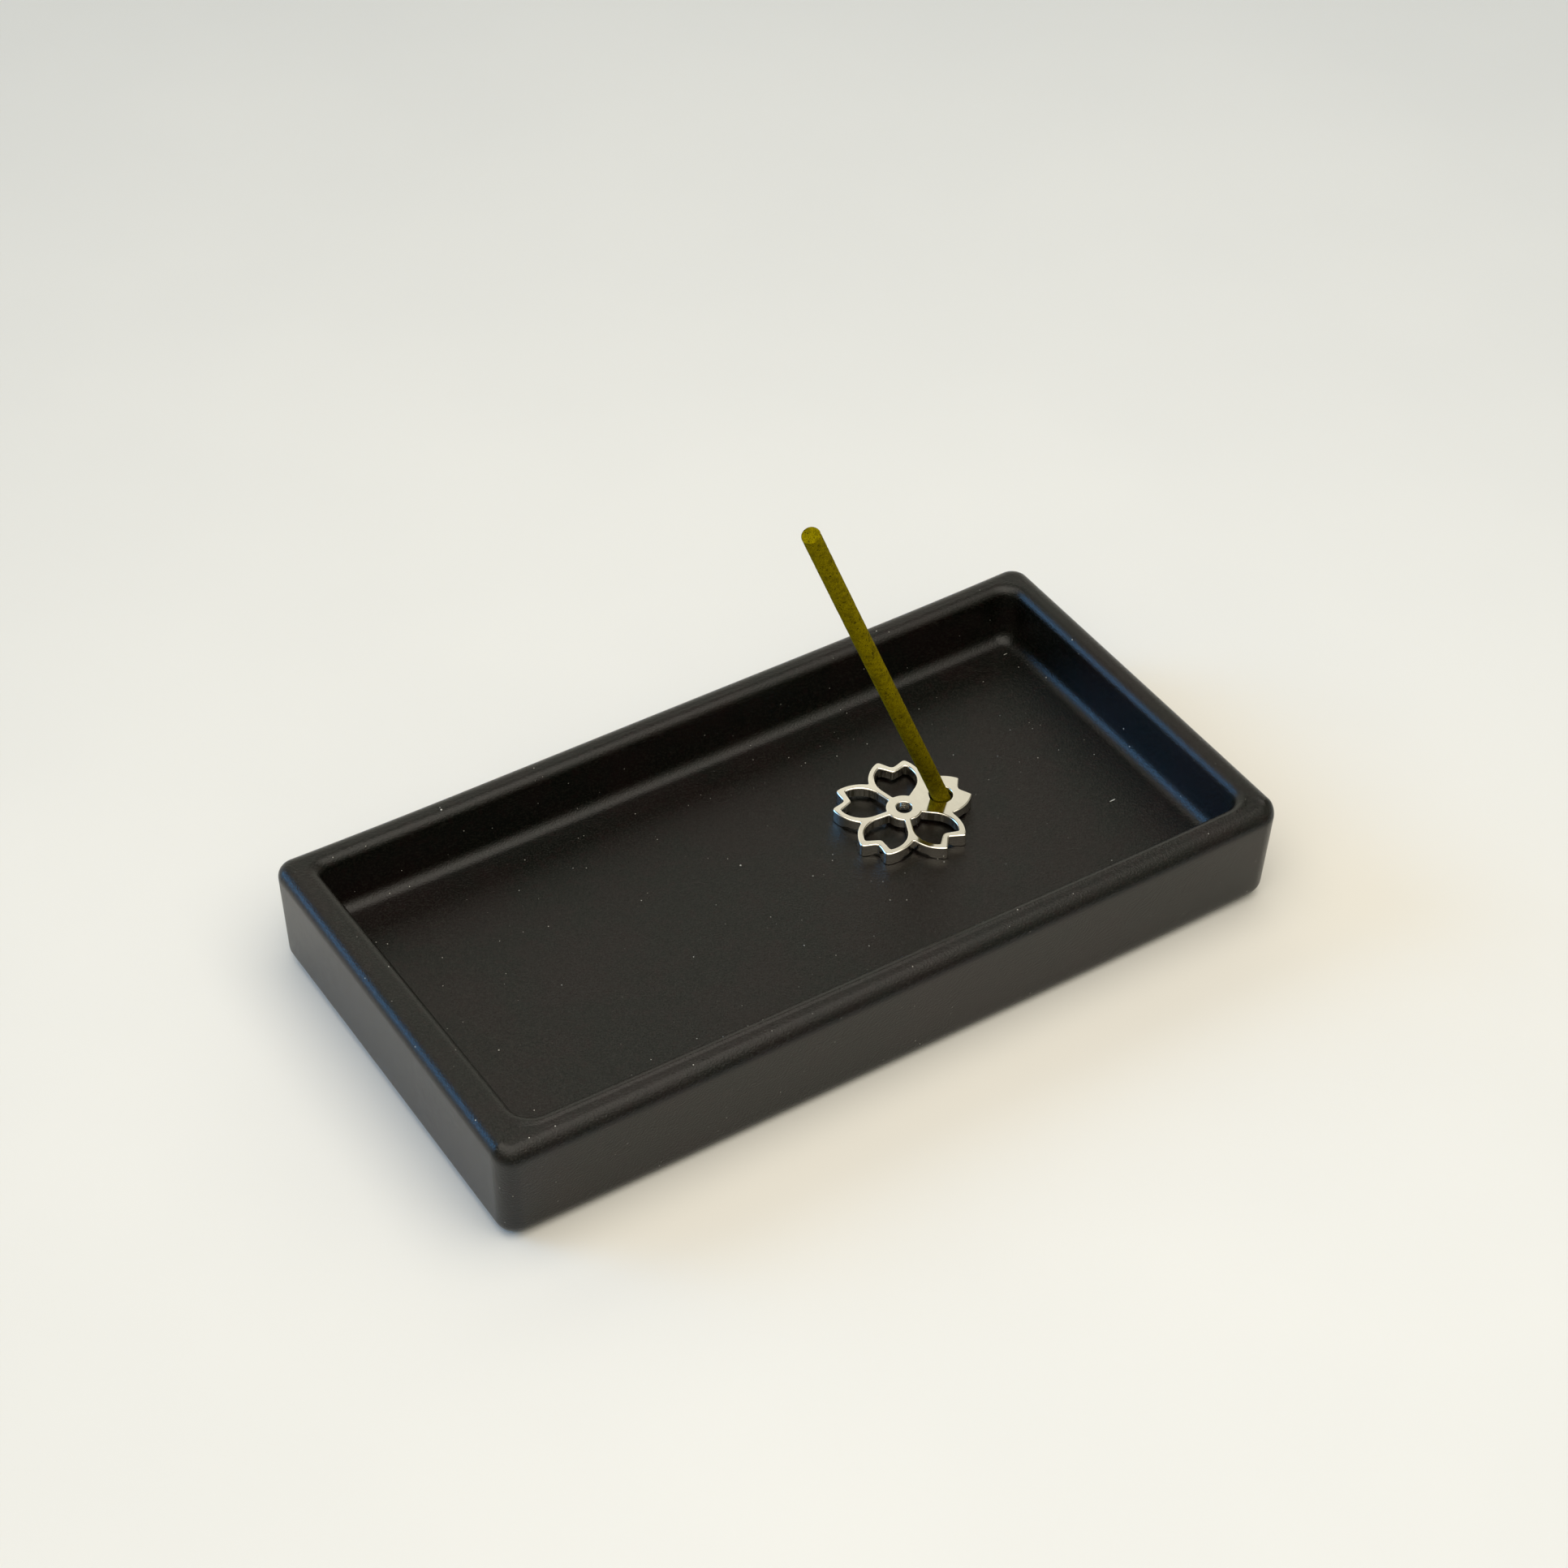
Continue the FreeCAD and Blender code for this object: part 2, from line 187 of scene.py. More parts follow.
class Piece:
    """One dressed surface that stands for a solid of the frame."""

    name, node = "", ""
    body, slot = Body.TRAY, Slot.GLAZE

    def surface(self) -> Surface:
        """The mesh."""
        raise NotImplementedError

    def finishes(self) -> tuple:
        """The finishes, by material number."""
        raise NotImplementedError

    def build(self) -> None:
        """Make the piece, dress it, put it on its body and report it."""
        piece = self.surface().to_object(self.name)
        for finish in self.finishes():
            piece.data.materials.append(finish.material())
        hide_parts(self.node)
        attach(piece, self.body.value)
        log.info("%s: %d vertices, %d faces", piece.name, len(piece.data.vertices),
                 len(piece.data.polygons))


# ---------------------------------------------------------------- tray


@dataclass
class Tray(Piece):
    """The glazed tray: one profile carried round a rounded rectangle.

    The profile starts in the middle of the underside, runs out over the foot, up the leaning
    side, over the rim, down the well and in to the middle of the floor. Sizes in millimetres.
    """

    name, node = "tray_glazed", "tray"
    body, slot = Body.TRAY, Slot.GLAZE

    half_length: float
    half_width: float
    height: float
    side_lean: float = 0.55
    plan_corner: float = 3.1
    outer_round: float = 2.0
    foot_round: float = 2.4
    rim_width: float = 4.6
    well_depth: float = 9.6
    wall_lean: float = 0.4
    well_corner: float = 3.0
    lip_round: float = 1.8
    cove_round: float = 2.2
    foot_width: float = 7.0
    foot_recess: float = 2.5
    recess_round: float = 0.5
    under_rings: tuple[float, ...] = (0.03, 0.15, 0.3, 0.45, 0.6, 0.75, 0.88, 0.96)
    warp: float = 0.45
    flat_reach: float = 36.0
    ripple: float = 0.018
    left_extra: tuple[float, float] = (0.9, 1.9)
    front_extra: tuple[float, float] = (1.0, 0.1)
    slump: float = 1.2
    slump_reach: float = 4.2
    tight_corner: float = 0.6
    corner_fade: Span = (0.4, 1.0)
    ripple_blur: Span = (9.0, 14.0)
    ripple_seed: int = 11
    ripple_above: float = 1.0
    bend_points: int = 11
    corner_points: int = 18
    long_points: int = 96
    short_points: int = 52

    @classmethod
    def from_frame(cls) -> "Tray":
        """The tray at the size of its solid in the frame."""
        low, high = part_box("tray")
        half = (high - low) / 2 / MM
        return cls(half_length=half.x, half_width=half.y, height=(high.z - low.z) / MM)

    def around(self) -> tuple[Array, Array, Array, Array]:
        """Coefficients of the outline, one entry for each point round it.

        A point is x = side_x * (half_x - radius) + arc_x * radius, and the same for y: on a
        corner side is 1 or -1 and arc is the direction, on a side the first runs evenly.

        Returns:
            side_x, side_y, arc_x and arc_y.
        """
        columns = []
        corners = ((1, 1), (-1, 1), (-1, -1), (1, -1))
        for number, (sign_x, sign_y) in enumerate(corners):
            turn = number * math.pi / 2 + np.linspace(0, math.pi / 2, self.corner_points)
            ones = np.ones_like(turn)
            columns.append((sign_x * ones, sign_y * ones, np.cos(turn), np.sin(turn)))
            next_x, next_y = corners[(number + 1) % 4]
            count = self.long_points if next_y == sign_y else self.short_points
            part = np.linspace(0, 1, count + 2)[1:-1]
            level = np.zeros_like(part)
            end = number * math.pi / 2 + math.pi / 2
            columns.append((sign_x + (next_x - sign_x) * part, sign_y + (next_y - sign_y) * part,
                            level + round(math.cos(end)), level + round(math.sin(end))))
        return tuple(np.concatenate(column) for column in zip(*columns))

    def profile(self) -> tuple[Array, Array, Array, Array, Array]:
        """Stations of the profile.

        Returns:
            For each its inset from the outline, its height, its corner radius, its share of the
            way out from the middle, and True where the clay is bare.
        """
        quarter = np.linspace(0, math.pi / 2, self.bend_points)
        sine, bow, dip = np.sin(quarter), 1 - np.cos(quarter), 1 - np.sin(quarter)
        rows = []

        def add(inset: Array, up: Array, corner: Array, share: float | Array = 1.0,
                bare: bool = False) -> None:
            """Append stations whose values may be arrays or single numbers."""
            parts = np.broadcast_arrays(*(np.atleast_1d(np.asarray(value, float))
                                          for value in (inset, up, corner, share, float(bare))))
            rows.append(np.stack(parts, axis=-1))

        lean, foot, depth = self.side_lean, self.foot_width + self.side_lean, self.foot_recess
        small, well, plan = self.recess_round, self.well_corner, self.plan_corner
        add(foot + small, depth, well, np.array(self.under_rings))
        add(foot + small - small * sine, depth - small * bow, well)
        add(foot, np.linspace(depth - 2 * small, 2 * small, 4), well)
        add(foot - small * bow, small * dip, well, bare=True)
        inner, outer = foot - small, lean + self.foot_round
        part = np.array([0.05, 0.3, 0.6, 0.9, 0.97])
        add(inner + (outer - inner) * part, 0, well + (plan - self.foot_round - well) * part,
            bare=True)
        side = np.linspace(self.foot_round, self.height - self.outer_round, 16)[1:-1]
        for drop, up in ((self.foot_round * dip, self.foot_round * bow), (0, side),
                         (self.outer_round * bow, self.height - self.outer_round * dip)):
            add(drop + lean * (1 - up / self.height), up, plan - drop)
        lip, cove, outer = self.lip_round, self.cove_round, self.outer_round
        inner, near, far = self.rim_width - lip, plan - outer, well + lip
        part = np.array([0.1, 0.3, 0.5, 0.7, 0.9])
        add(outer + (inner - outer) * part, self.height, near + (far - near) * part)
        add(inner + lip * sine, self.height - lip * bow, far - lip * sine)
        floor, foot = self.height - self.well_depth, self.rim_width + self.wall_lean
        up = np.linspace(self.height - lip, floor + cove, 12)[1:-1]
        add(self.rim_width + self.wall_lean * (self.height - up) / self.well_depth, up, well)
        add(foot + cove * bow, floor + cove * dip, well - cove * bow)
        outward = np.concatenate(([0.99, 0.97], np.linspace(0.93, 0.05, 24)))
        add(foot + cove, floor, well - cove, outward)
        table = np.concatenate(rows)
        return (*table[:, :4].T, table[:, 4] > 0.5)

    def shift_well(self, x: Array, y: Array, in_well: Array) -> tuple[Array, Array]:
        """Widen the rim where the well lies a little off centre.

        The left wall moves right by left_extra, given at its far and near ends; the near wall
        moves back by front_extra, given at its left and right ends. Each move fades evenly to
        nothing at the facing wall.

        Args:
            x: places along the tray.
            y: places across it.
            in_well: 0 outside the rim's crest and 1 in the well.

        Returns:
            The moved places.
        """
        from_right = (self.half_length - x) / (2 * self.half_length)
        from_back = (self.half_width - y) / (2 * self.half_width)
        left = self.left_extra[0] + (self.left_extra[1] - self.left_extra[0]) * from_back
        front = self.front_extra[1] + (self.front_extra[0] - self.front_extra[1]) * from_right
        return x + in_well * left * from_right, y + in_well * front * from_back

    def far_left(self, side_x: Array, side_y: Array) -> Array:
        """1 round the far left corner, fading along the two sides beside it."""
        return smoothstep(*self.corner_fade, -side_x) * smoothstep(*self.corner_fade, side_y)

    def sag(self, inset: Array, up: Array, arc_y: Array) -> Array:
        """How far the near rim's outer edge has slumped: a parabola of the way in from it."""
        way_in = np.clip(1 - inset / self.slump_reach, 0, 1)
        return self.slump * way_in ** 2 * (up / self.height) ** 4 * smoothstep(0, 1, -arc_y)

    def lift(self, across: Array) -> Array:
        """Height that firing has lifted the ends by: a parabola outside the flat middle."""
        outside = np.clip((np.abs(across) - self.flat_reach)
                          / (self.half_length - self.flat_reach), 0, 1)
        return self.warp * outside ** 2

    def surface(self) -> Surface:
        """The whole skin as one grid, closed by a vertex in the middle of each flat."""
        side_x, side_y, arc_x, arc_y = self.around()
        inset, up, corner, share, bare = (row[:, None] for row in self.profile())
        half_x, half_y = self.half_length - inset, self.half_width - inset
        crest = np.flatnonzero(up[:, 0] >= self.height - 1e-9)
        in_well = smoothstep(crest.min(), crest.max(), np.arange(len(up)))[:, None]
        corner = corner * (1 - in_well * (1 - self.tight_corner) * self.far_left(side_x, side_y))
        x = share * (side_x * (half_x - corner) + arc_x * corner)
        y = share * (side_y * (half_y - corner) + arc_y * corner)
        x, y = self.shift_well(x, y, in_well)
        z = up - self.sag(inset, up, arc_y) * (in_well < 1)
        grid = np.stack((x, y, z), axis=-1)
        along = np.gradient(grid, axis=0)
        around = np.roll(grid, -1, axis=1) - np.roll(grid, 1, axis=1)
        normal = np.cross(around, along)
        normal /= np.maximum(norm(normal, axis=-1, keepdims=True), 1e-9)
        wave = smooth_noise(x.shape, self.ripple_blur, self.ripple_seed) * self.ripple
        wave = wave * smoothstep(0.6, 1.0, share) * (up > self.ripple_above)
        grid = grid + normal * wave[..., None]
        grid[..., 2] += self.lift(grid[..., 0])
        rows, columns = x.shape
        floor = self.height - self.well_depth
        poles = np.array(((0.0, 0.0, self.foot_recess), (0.0, 0.0, floor)))
        points = np.concatenate((grid.reshape(-1, 3), poles)) * MM
        ring = np.arange(columns)
        quads = grid_quads(rows, columns)
        under = pole_triangles(ring, rows * columns, flip=True)
        over = pole_triangles(ring + (rows - 1) * columns, rows * columns + 1, flip=False)
        faces = quads.tolist() + under.tolist() + over.tolist()
        bare_quads = np.repeat((bare[:-1, 0] & bare[1:, 0]).astype(int), columns)
        finish = np.concatenate((bare_quads, np.zeros(2 * columns, int)))
        return Surface(points, faces, finish=finish)

    def finishes(self) -> tuple:
        """The finishes, by material number."""
        return (SatinGlaze(), BareClay())


# ---------------------------------------------------------------- flower


def arc_through(start: Array, middle: Array, end: Array, count: int) -> Array:
    """Points along the circle through three places, without the last place.

    Args:
        start: first place.
        middle: a place between the two.
        end: last place.
        count: number of points.

    Returns:
        The points, count by 2.
    """
    square = np.array([middle - start, end - start]) * 2
    right = np.array([middle @ middle - start @ start, end @ end - start @ start])
    centre = np.linalg.solve(square, right)
    turns = [math.atan2(*(spot - centre)[::-1]) for spot in (start, middle, end)]
    to_middle = (turns[1] - turns[0] + math.pi) % (2 * math.pi) - math.pi
    to_end = (turns[2] - turns[1] + math.pi) % (2 * math.pi) - math.pi
    turn = turns[0] + np.linspace(0, to_middle + to_end, count, endpoint=False)
    radius = norm(start - centre)
    return centre + radius * np.stack((np.cos(turn), np.sin(turn)), axis=-1)


def polar(reach: float, degrees: float) -> Array:
    """A place at a distance and a direction from the flower's centre."""
    turn = math.radians(degrees)
    return np.array((reach * math.cos(turn), reach * math.sin(turn)))


def soften(path: Array, count: int, width: float) -> Array:
    """Space a closed path evenly and round its corners with a Gaussian average along it.

    Args:
        path: its points.
        count: number of points wanted.
        width: spread of the average, as a length along the path.

    Returns:
        The points, count by 2.
    """
    closed = np.concatenate((path, path[:1]))
    way = np.concatenate(([0.0], np.cumsum(norm(np.diff(closed, axis=0), axis=1))))
    even = np.linspace(0, way[-1], count, endpoint=False)
    spots = np.stack([np.interp(even, way, closed[:, axis]) for axis in (0, 1)], axis=-1)
    rate = np.fft.fftfreq(count)[:, None] * count / way[-1]
    fall = np.exp(-2 * (math.pi * width * rate) ** 2)
    return np.fft.ifft(np.fft.fft(spots, axis=0) * fall, axis=0).real


@dataclass
class Flower(Piece):
    """The cast flower: an edge profile carried round its outline, its windows and its holes.

    The outline's points are polar, measured from the flower's centre. Sizes in millimetres.
    """

    name, node = "flower_cast", "flower_holder"
    body, slot = Body.HOLDER, Slot.METAL

    centre_x: float
    centre_y: float
    base: float
    turn: float = -4.8
    notch_reaches: tuple[float, ...] = (9.62, 9.25, 9.25, 9.25, 9.25)
    worn: tuple[float, ...] = (0.1, 1.0, 0.75, 1.25, 0.0)
    window_tip_worn: tuple[float, ...] = (0.0, 0.6, 0.15, 0.5, 0.3)
    window_notch_worn: tuple[float, ...] = (0.0, 0.65, 0.6, 1.0, 1.0)
    tip_reach: float = 11.12
    tip_spread: float = 10.6
    cheek_reach: float = 9.6
    cheek_spread: float = 23.2
    valley_reach: float = 7.5
    hub_reach: float = 2.85
    spoke_width: float = 1.0
    spoke_length: float = 5.0
    window_tip_reach: float = 9.65
    window_tip_spread: float = 12.6
    window_notch_reach: float = 8.1
    centre_hole: float = 2.5
    petal_hole: float = 3.70
    petal_hole_reach: float = 6.5
    drill_rings: float = 0.05
    ring_count: int = 4
    thick: float = 2.2
    relief_depth: float = 0.5
    relief_reach: float = 9.2
    relief_ramp: float = 0.8
    edge_round: float = 0.24
    hole_round: float = 0.14
    under_round: float = 0.14
    outer_streaks_and_painted_shade: float = 0.70
    wall_rows: int = 23
    arc_points: int = 80
    bend_points: int = 70
    edge_points: int = 8
    hole_points: tuple[int, int] = (96, 128)
    streak_shift: float = 50.0
    spoke_points: int = 24
    hub_points: int = 30
    ramp_points: int = 240
    ramp_rings: int = 4
    ramp_gap: float = 0.05
    outline_points: int = 1280
    outline_soft: Span = (0.22, 0.44)
    outline_wear_reach: Span = (8.2, 9.2)
    window_points: int = 420
    window_soft: Span = (0.12, 0.32)
    window_wear_reach: Span = (6.5, 7.5)
    notch_spread: Span = (3.0, 8.0)

    @classmethod
    def from_frame(cls) -> "Flower":
        """The flower where the record's hub bore and the frame's solid put it."""
        mounts = {mount["name"]: mount for mount in frame["record"]["mounts"]}
        bore = mounts["centre_bore"]["pos_m"]
        low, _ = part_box("flower_holder")
        return cls(centre_x=bore[0] / MM, centre_y=bore[1] / MM, base=low.z / MM)

    def outline(self) -> Array:
        """The outer edge: for each petal a cheek, a tip, the notch, a tip and a cheek.

        Polishing has worn some petals' ends more than others, so the path mixes a crisp and a
        dull one, by each petal's share of wear.

        Returns:
            The closed path.
        """
        parts = []
        for number, notch_reach in enumerate(self.notch_reaches):
            axis = number * self.step
            low, high = ([polar(reach, axis + side * spread) for reach, spread in (
                (self.valley_reach, self.step / 2), (self.cheek_reach, self.cheek_spread),
                (self.tip_reach, self.tip_spread))] for side in (-1, 1))
            parts.append(arc_through(*low, self.arc_points))
            parts.append(np.stack((low[-1], polar(notch_reach, axis))))
            parts.append(arc_through(*high[::-1], self.arc_points))
        path = np.concatenate(parts)
        crisp, dull = (soften(path, self.outline_points, width) for width in self.outline_soft)
        return crisp + (dull - crisp) * self.wear(crisp)[:, None]

    def wear(self, spots: Array) -> Array:
        """Each spot's share of wear: its petal's own, fading out below the petal's end."""
        turn = np.degrees(np.arctan2(spots[:, 1], spots[:, 0])) % 360
        petal = np.round(turn / self.step).astype(int) % len(self.worn)
        reach = norm(spots, axis=1)
        return np.array(self.worn)[petal] * smoothstep(*self.outline_wear_reach, reach)

    @property
    def step(self) -> float:
        """Angle from one petal to the next, in degrees."""
        return 360 / len(self.worn)

    def window(self, number: int) -> Array:
        """One petal's window: the hub's arc, two sides, two tips and a notch.

        A side runs straight along the spoke's edge, then leaves it as an arc that touches it and
        ends at the tip: with the run and the rise from the bend to the tip, the arc's radius is
        (run * run + rise * rise) / (2 * rise) and it turns by twice the chord's slope.

        Args:
            number: the petal's place round the flower.

        Returns:
            The closed path.
        """
        half_step = math.radians(self.step / 2)
        edge = self.spoke_width / 2
        base = math.sqrt(self.hub_reach ** 2 - edge ** 2)
        lean = half_step - math.radians(self.window_tip_spread)
        run = self.window_tip_reach * math.cos(lean) - self.spoke_length
        rise = self.window_tip_reach * math.sin(lean) - edge
        radius = (run ** 2 + rise ** 2) / (2 * rise)
        bend = np.linspace(0, 2 * math.atan(rise / run), self.bend_points)
        straight = np.linspace(base, self.spoke_length, self.spoke_points)[:-1]
        along = np.concatenate((straight, self.spoke_length + radius * np.sin(bend)))
        aside = np.concatenate((np.full_like(straight, edge),
                                edge + radius * (1 - np.cos(bend))))
        x = along * math.cos(half_step) + aside * math.sin(half_step)
        y = along * math.sin(half_step) - aside * math.cos(half_step)
        high = np.stack((x, y), axis=-1)
        low = high * (1, -1)
        hub_turn = half_step - math.asin(edge / self.hub_reach)
        hub = np.linspace(hub_turn, -hub_turn, self.hub_points)[1:-1]
        path = np.concatenate((low, ((self.window_notch_reach, 0.0),), high[::-1],
                               self.hub_reach * np.stack((np.cos(hub), np.sin(hub)), axis=-1)))
        turn = math.radians(number * self.step)
        spin = np.array(((math.cos(turn), math.sin(turn)), (-math.sin(turn), math.cos(turn))))
        crisp, dull = (soften(path, self.window_points, width) for width in self.window_soft)
        aside = np.abs(np.degrees(np.arctan2(crisp[:, 1], crisp[:, 0])))
        tip, notch = self.window_tip_worn[number], self.window_notch_worn[number]
        share = notch + (tip - notch) * smoothstep(*self.notch_spread, aside)
        share = share * smoothstep(*self.window_wear_reach, norm(crisp, axis=1))
        return (crisp + (dull - crisp) * share[:, None]) @ spin

    def circle(self, reach: float, diameter: float, count: int) -> Array:
        """A round hole on the solid petal's middle line."""
        turn = np.linspace(0, 2 * math.pi, count, endpoint=False)
        round_path = np.stack((np.cos(turn), np.sin(turn)), axis=-1) * diameter / 2
        return round_path + np.array((reach, 0.0))

    def underside(self, spots: Array) -> Array:
        """Height of the underside: relieved in the middle, ramping down to the petal ends."""
        reach = norm(spots, axis=-1)
        ramp = smoothstep(self.relief_reach, self.relief_reach + self.relief_ramp, reach)
        return self.relief_depth * (1 - ramp)

    def wall(self, path: Array, hole: bool, edge: float, rings: float = 0.0
             ) -> tuple[Array, Array]:
        """The edge profile carried round one path.

        It runs from the top face over a quarter round, down the wall, over a small quarter round
        and onto the underside.

        Args:
            path: counter-clockwise points.
            hole: True for a path with the metal outside it.
            edge: radius of the top edge.
            rings: depth of the rings that a drill left down the wall.

        Returns:
            Points and normals, each stations by path points by 3.
        """
        tangent = np.roll(path, -1, axis=0) - np.roll(path, 1, axis=0)
        tangent /= norm(tangent, axis=1, keepdims=True)
        outward = np.stack((tangent[:, 1], -tangent[:, 0]), axis=-1) * (-1 if hole else 1)
        quarter = np.linspace(0, math.pi / 2, self.edge_points)
        sine, bow = np.sin(quarter), 1 - np.cos(quarter)
        part = np.linspace(0, 1, self.wall_rows + 2)[1:-1]
        wave = 2 * math.pi * self.ring_count * part
        groove = rings * (1 - np.cos(wave)) / 2
        wall_height = self.thick - self.relief_depth
        tilt = -math.pi * self.ring_count * rings * np.sin(wave) / wall_height
        inset = np.concatenate((edge * (1 - sine), groove, self.under_round * bow))
        side = np.concatenate((sine, 1 / np.hypot(1, tilt), np.cos(quarter)))
        rise = np.concatenate((np.cos(quarter), tilt / np.hypot(1, tilt), -sine))
        low = self.underside(path)
        top_part = self.thick - edge * bow
        high, foot = self.thick - edge, low + self.under_round
        height = np.concatenate((
            np.broadcast_to(top_part[:, None], (len(quarter), len(path))),
            high + (foot - high) * part[:, None],
            low + self.under_round * (1 - sine)[:, None]))
        flat_spots = path[None] - outward[None] * inset[:, None, None]
        points = np.concatenate((flat_spots, height[..., None]), axis=-1)
        normals = np.concatenate((outward[None] * side[:, None, None],
                                  np.broadcast_to(rise[:, None, None], height.shape + (1,))),
                                 axis=-1)
        return points, normals

    def surface(self) -> Surface:
        """Walls round every path, closed above and below by triangulated faces."""
        fine, full = self.hole_round, self.edge_round
        few, many = self.hole_points
        paths = [(self.outline(), False, full, 0.0),
                 (self.circle(0.0, self.centre_hole, few), True, fine, self.drill_rings),
                 (self.circle(self.petal_hole_reach, self.petal_hole, many), True, fine, 0.0)]
        paths += [(self.window(number), True, full, 0.0) for number in range(1, len(self.worn))]
        points, normals, faces, tops, bottoms, along, walls = [], [], [], [], [], [], []
        start = 0
        for path, hole, edge, rings in paths:
            spots, outward = self.wall(path, hole, edge, rings)
            rows, columns = spots.shape[:2]
            quads = grid_quads(rows, columns, start)
            faces += (quads if hole else quads[:, ::-1]).tolist()
            points.append(spots.reshape(-1, 3))
            normals.append(outward.reshape(-1, 3))
            way = np.cumsum(norm(path - np.roll(path, 1, axis=0), axis=1))
            along.append(np.tile(way + self.streak_shift * start, rows))
            steep = 1 - np.abs(outward[..., 2].reshape(-1))
            # The wall mark places the metal's streaks and their painted shade; the outer walls get a smaller
            # share.
            walls.append(steep if hole else steep * self.outer_streaks_and_painted_shade)
            tops.append(np.arange(columns) + start)
            bottoms.append(np.arange(columns) + start + (rows - 1) * columns)
            start += rows * columns
        everything = np.concatenate(points)
        faces += self.cap(everything, tops, np.empty((0, 2)), facing_up=True)
        faces_under, extra = self.under_cap(everything, bottoms)
        faces += faces_under
        down = np.broadcast_to((0.0, 0.0, -1.0), extra.shape)
        everything = np.concatenate((everything, extra))
        every_normal = np.concatenate((*normals, down))
        heading = math.radians(self.turn)
        cosine, sine = math.cos(heading), math.sin(heading)
        spin = np.array(((cosine, -sine, 0), (sine, cosine, 0), (0, 0, 1)))
        move = np.array((self.centre_x, self.centre_y, self.base))
        marks = {"along": np.concatenate((*along, np.zeros(len(extra)))),
                 "wall": np.concatenate((*walls, np.zeros(len(extra))))}
        return Surface((everything @ spin.T + move) * MM, faces, every_normal @ spin.T,
                       marks=marks)

    def cap(self, points: Array, loops: list, extra: Array, facing_up: bool) -> list:
        """Triangles of a face between its outer loop and its holes, worked out in plan.

        Args:
            points: every vertex so far.
            loops: vertex numbers of each loop, the outer one first.
            extra: more points on the face, in plan, numbered after the others.
            facing_up: True for the top face.

        Returns:
            The triangles as lists of vertex numbers.
        """
        numbers = np.concatenate((*loops, len(points) + np.arange(len(extra))))
        spots = np.concatenate((points[np.concatenate(loops), :2], extra))
        edges, first = [], 0
        for loop in loops:
            ring = np.arange(len(loop)) + first
            edges += np.stack((ring, np.roll(ring, -1)), axis=-1).tolist()
            first += len(loop)
        made = delaunay_2d_cdt([Vector(spot) for spot in spots.tolist()], edges, [], 0, 1e-7)
        triangles = np.array([sources[0] for sources in made[3]])[np.array(made[2])]
        triangles = triangles[self.in_metal(spots[triangles].mean(axis=1), points, loops)]
        return numbers[triangles if facing_up else triangles[:, ::-1]].tolist()

    def under_cap(self, points: Array, loops: list) -> tuple[list, Array]:
        """The underside: its ramp needs points inside the metal, clear of every edge.

        Args:
            points: every vertex so far.
            loops: vertex numbers of each lower loop, the outer one first.

        Returns:
            The triangles and the points that they add.
        """
        turn = np.linspace(0, 2 * math.pi, self.ramp_points, endpoint=False)
        reach = np.linspace(self.relief_reach, self.relief_reach + self.relief_ramp,
                            self.ramp_rings)
        ring = np.stack((np.cos(turn), np.sin(turn)), axis=-1)
        spots = (reach[:, None, None] * ring[None]).reshape(-1, 2)
        edge_spots = points[np.concatenate(loops), :2]
        gap = norm(spots[:, None] - edge_spots[None], axis=-1).min(axis=1)
        kept = spots[self.in_metal(spots, points, loops) & (gap > self.ramp_gap)]
        extra = np.concatenate((kept, self.underside(kept)[:, None]), axis=-1)
        return self.cap(points, loops, kept, facing_up=False), extra

    @staticmethod
    def in_metal(spots: Array, points: Array, loops: list) -> Array:
        """True for each spot that an odd number of the loops' sides lie to the right of.

        Args:
            spots: places to test, in plan.
            points: every vertex so far.
            loops: vertex numbers of each loop.

        Returns:
            A True or False for each spot.
        """
        before = points[np.concatenate(loops), :2]
        after = points[np.concatenate([np.roll(loop, -1) for loop in loops]), :2]
        level = spots[:, None, 1]
        crosses = (before[:, 1] > level) != (after[:, 1] > level)
        rise = np.where(after[:, 1] == before[:, 1], 1.0, after[:, 1] - before[:, 1])
        slope = (after[:, 0] - before[:, 0]) / rise
        reach = before[:, 0] + slope * (level - before[:, 1])
        return (crosses & (spots[:, None, 0] < reach)).sum(axis=1) % 2 == 1

    def finishes(self) -> tuple:
        """The finishes, by material number."""
        return (PolishedMetal(),)


# ---------------------------------------------------------------- stick


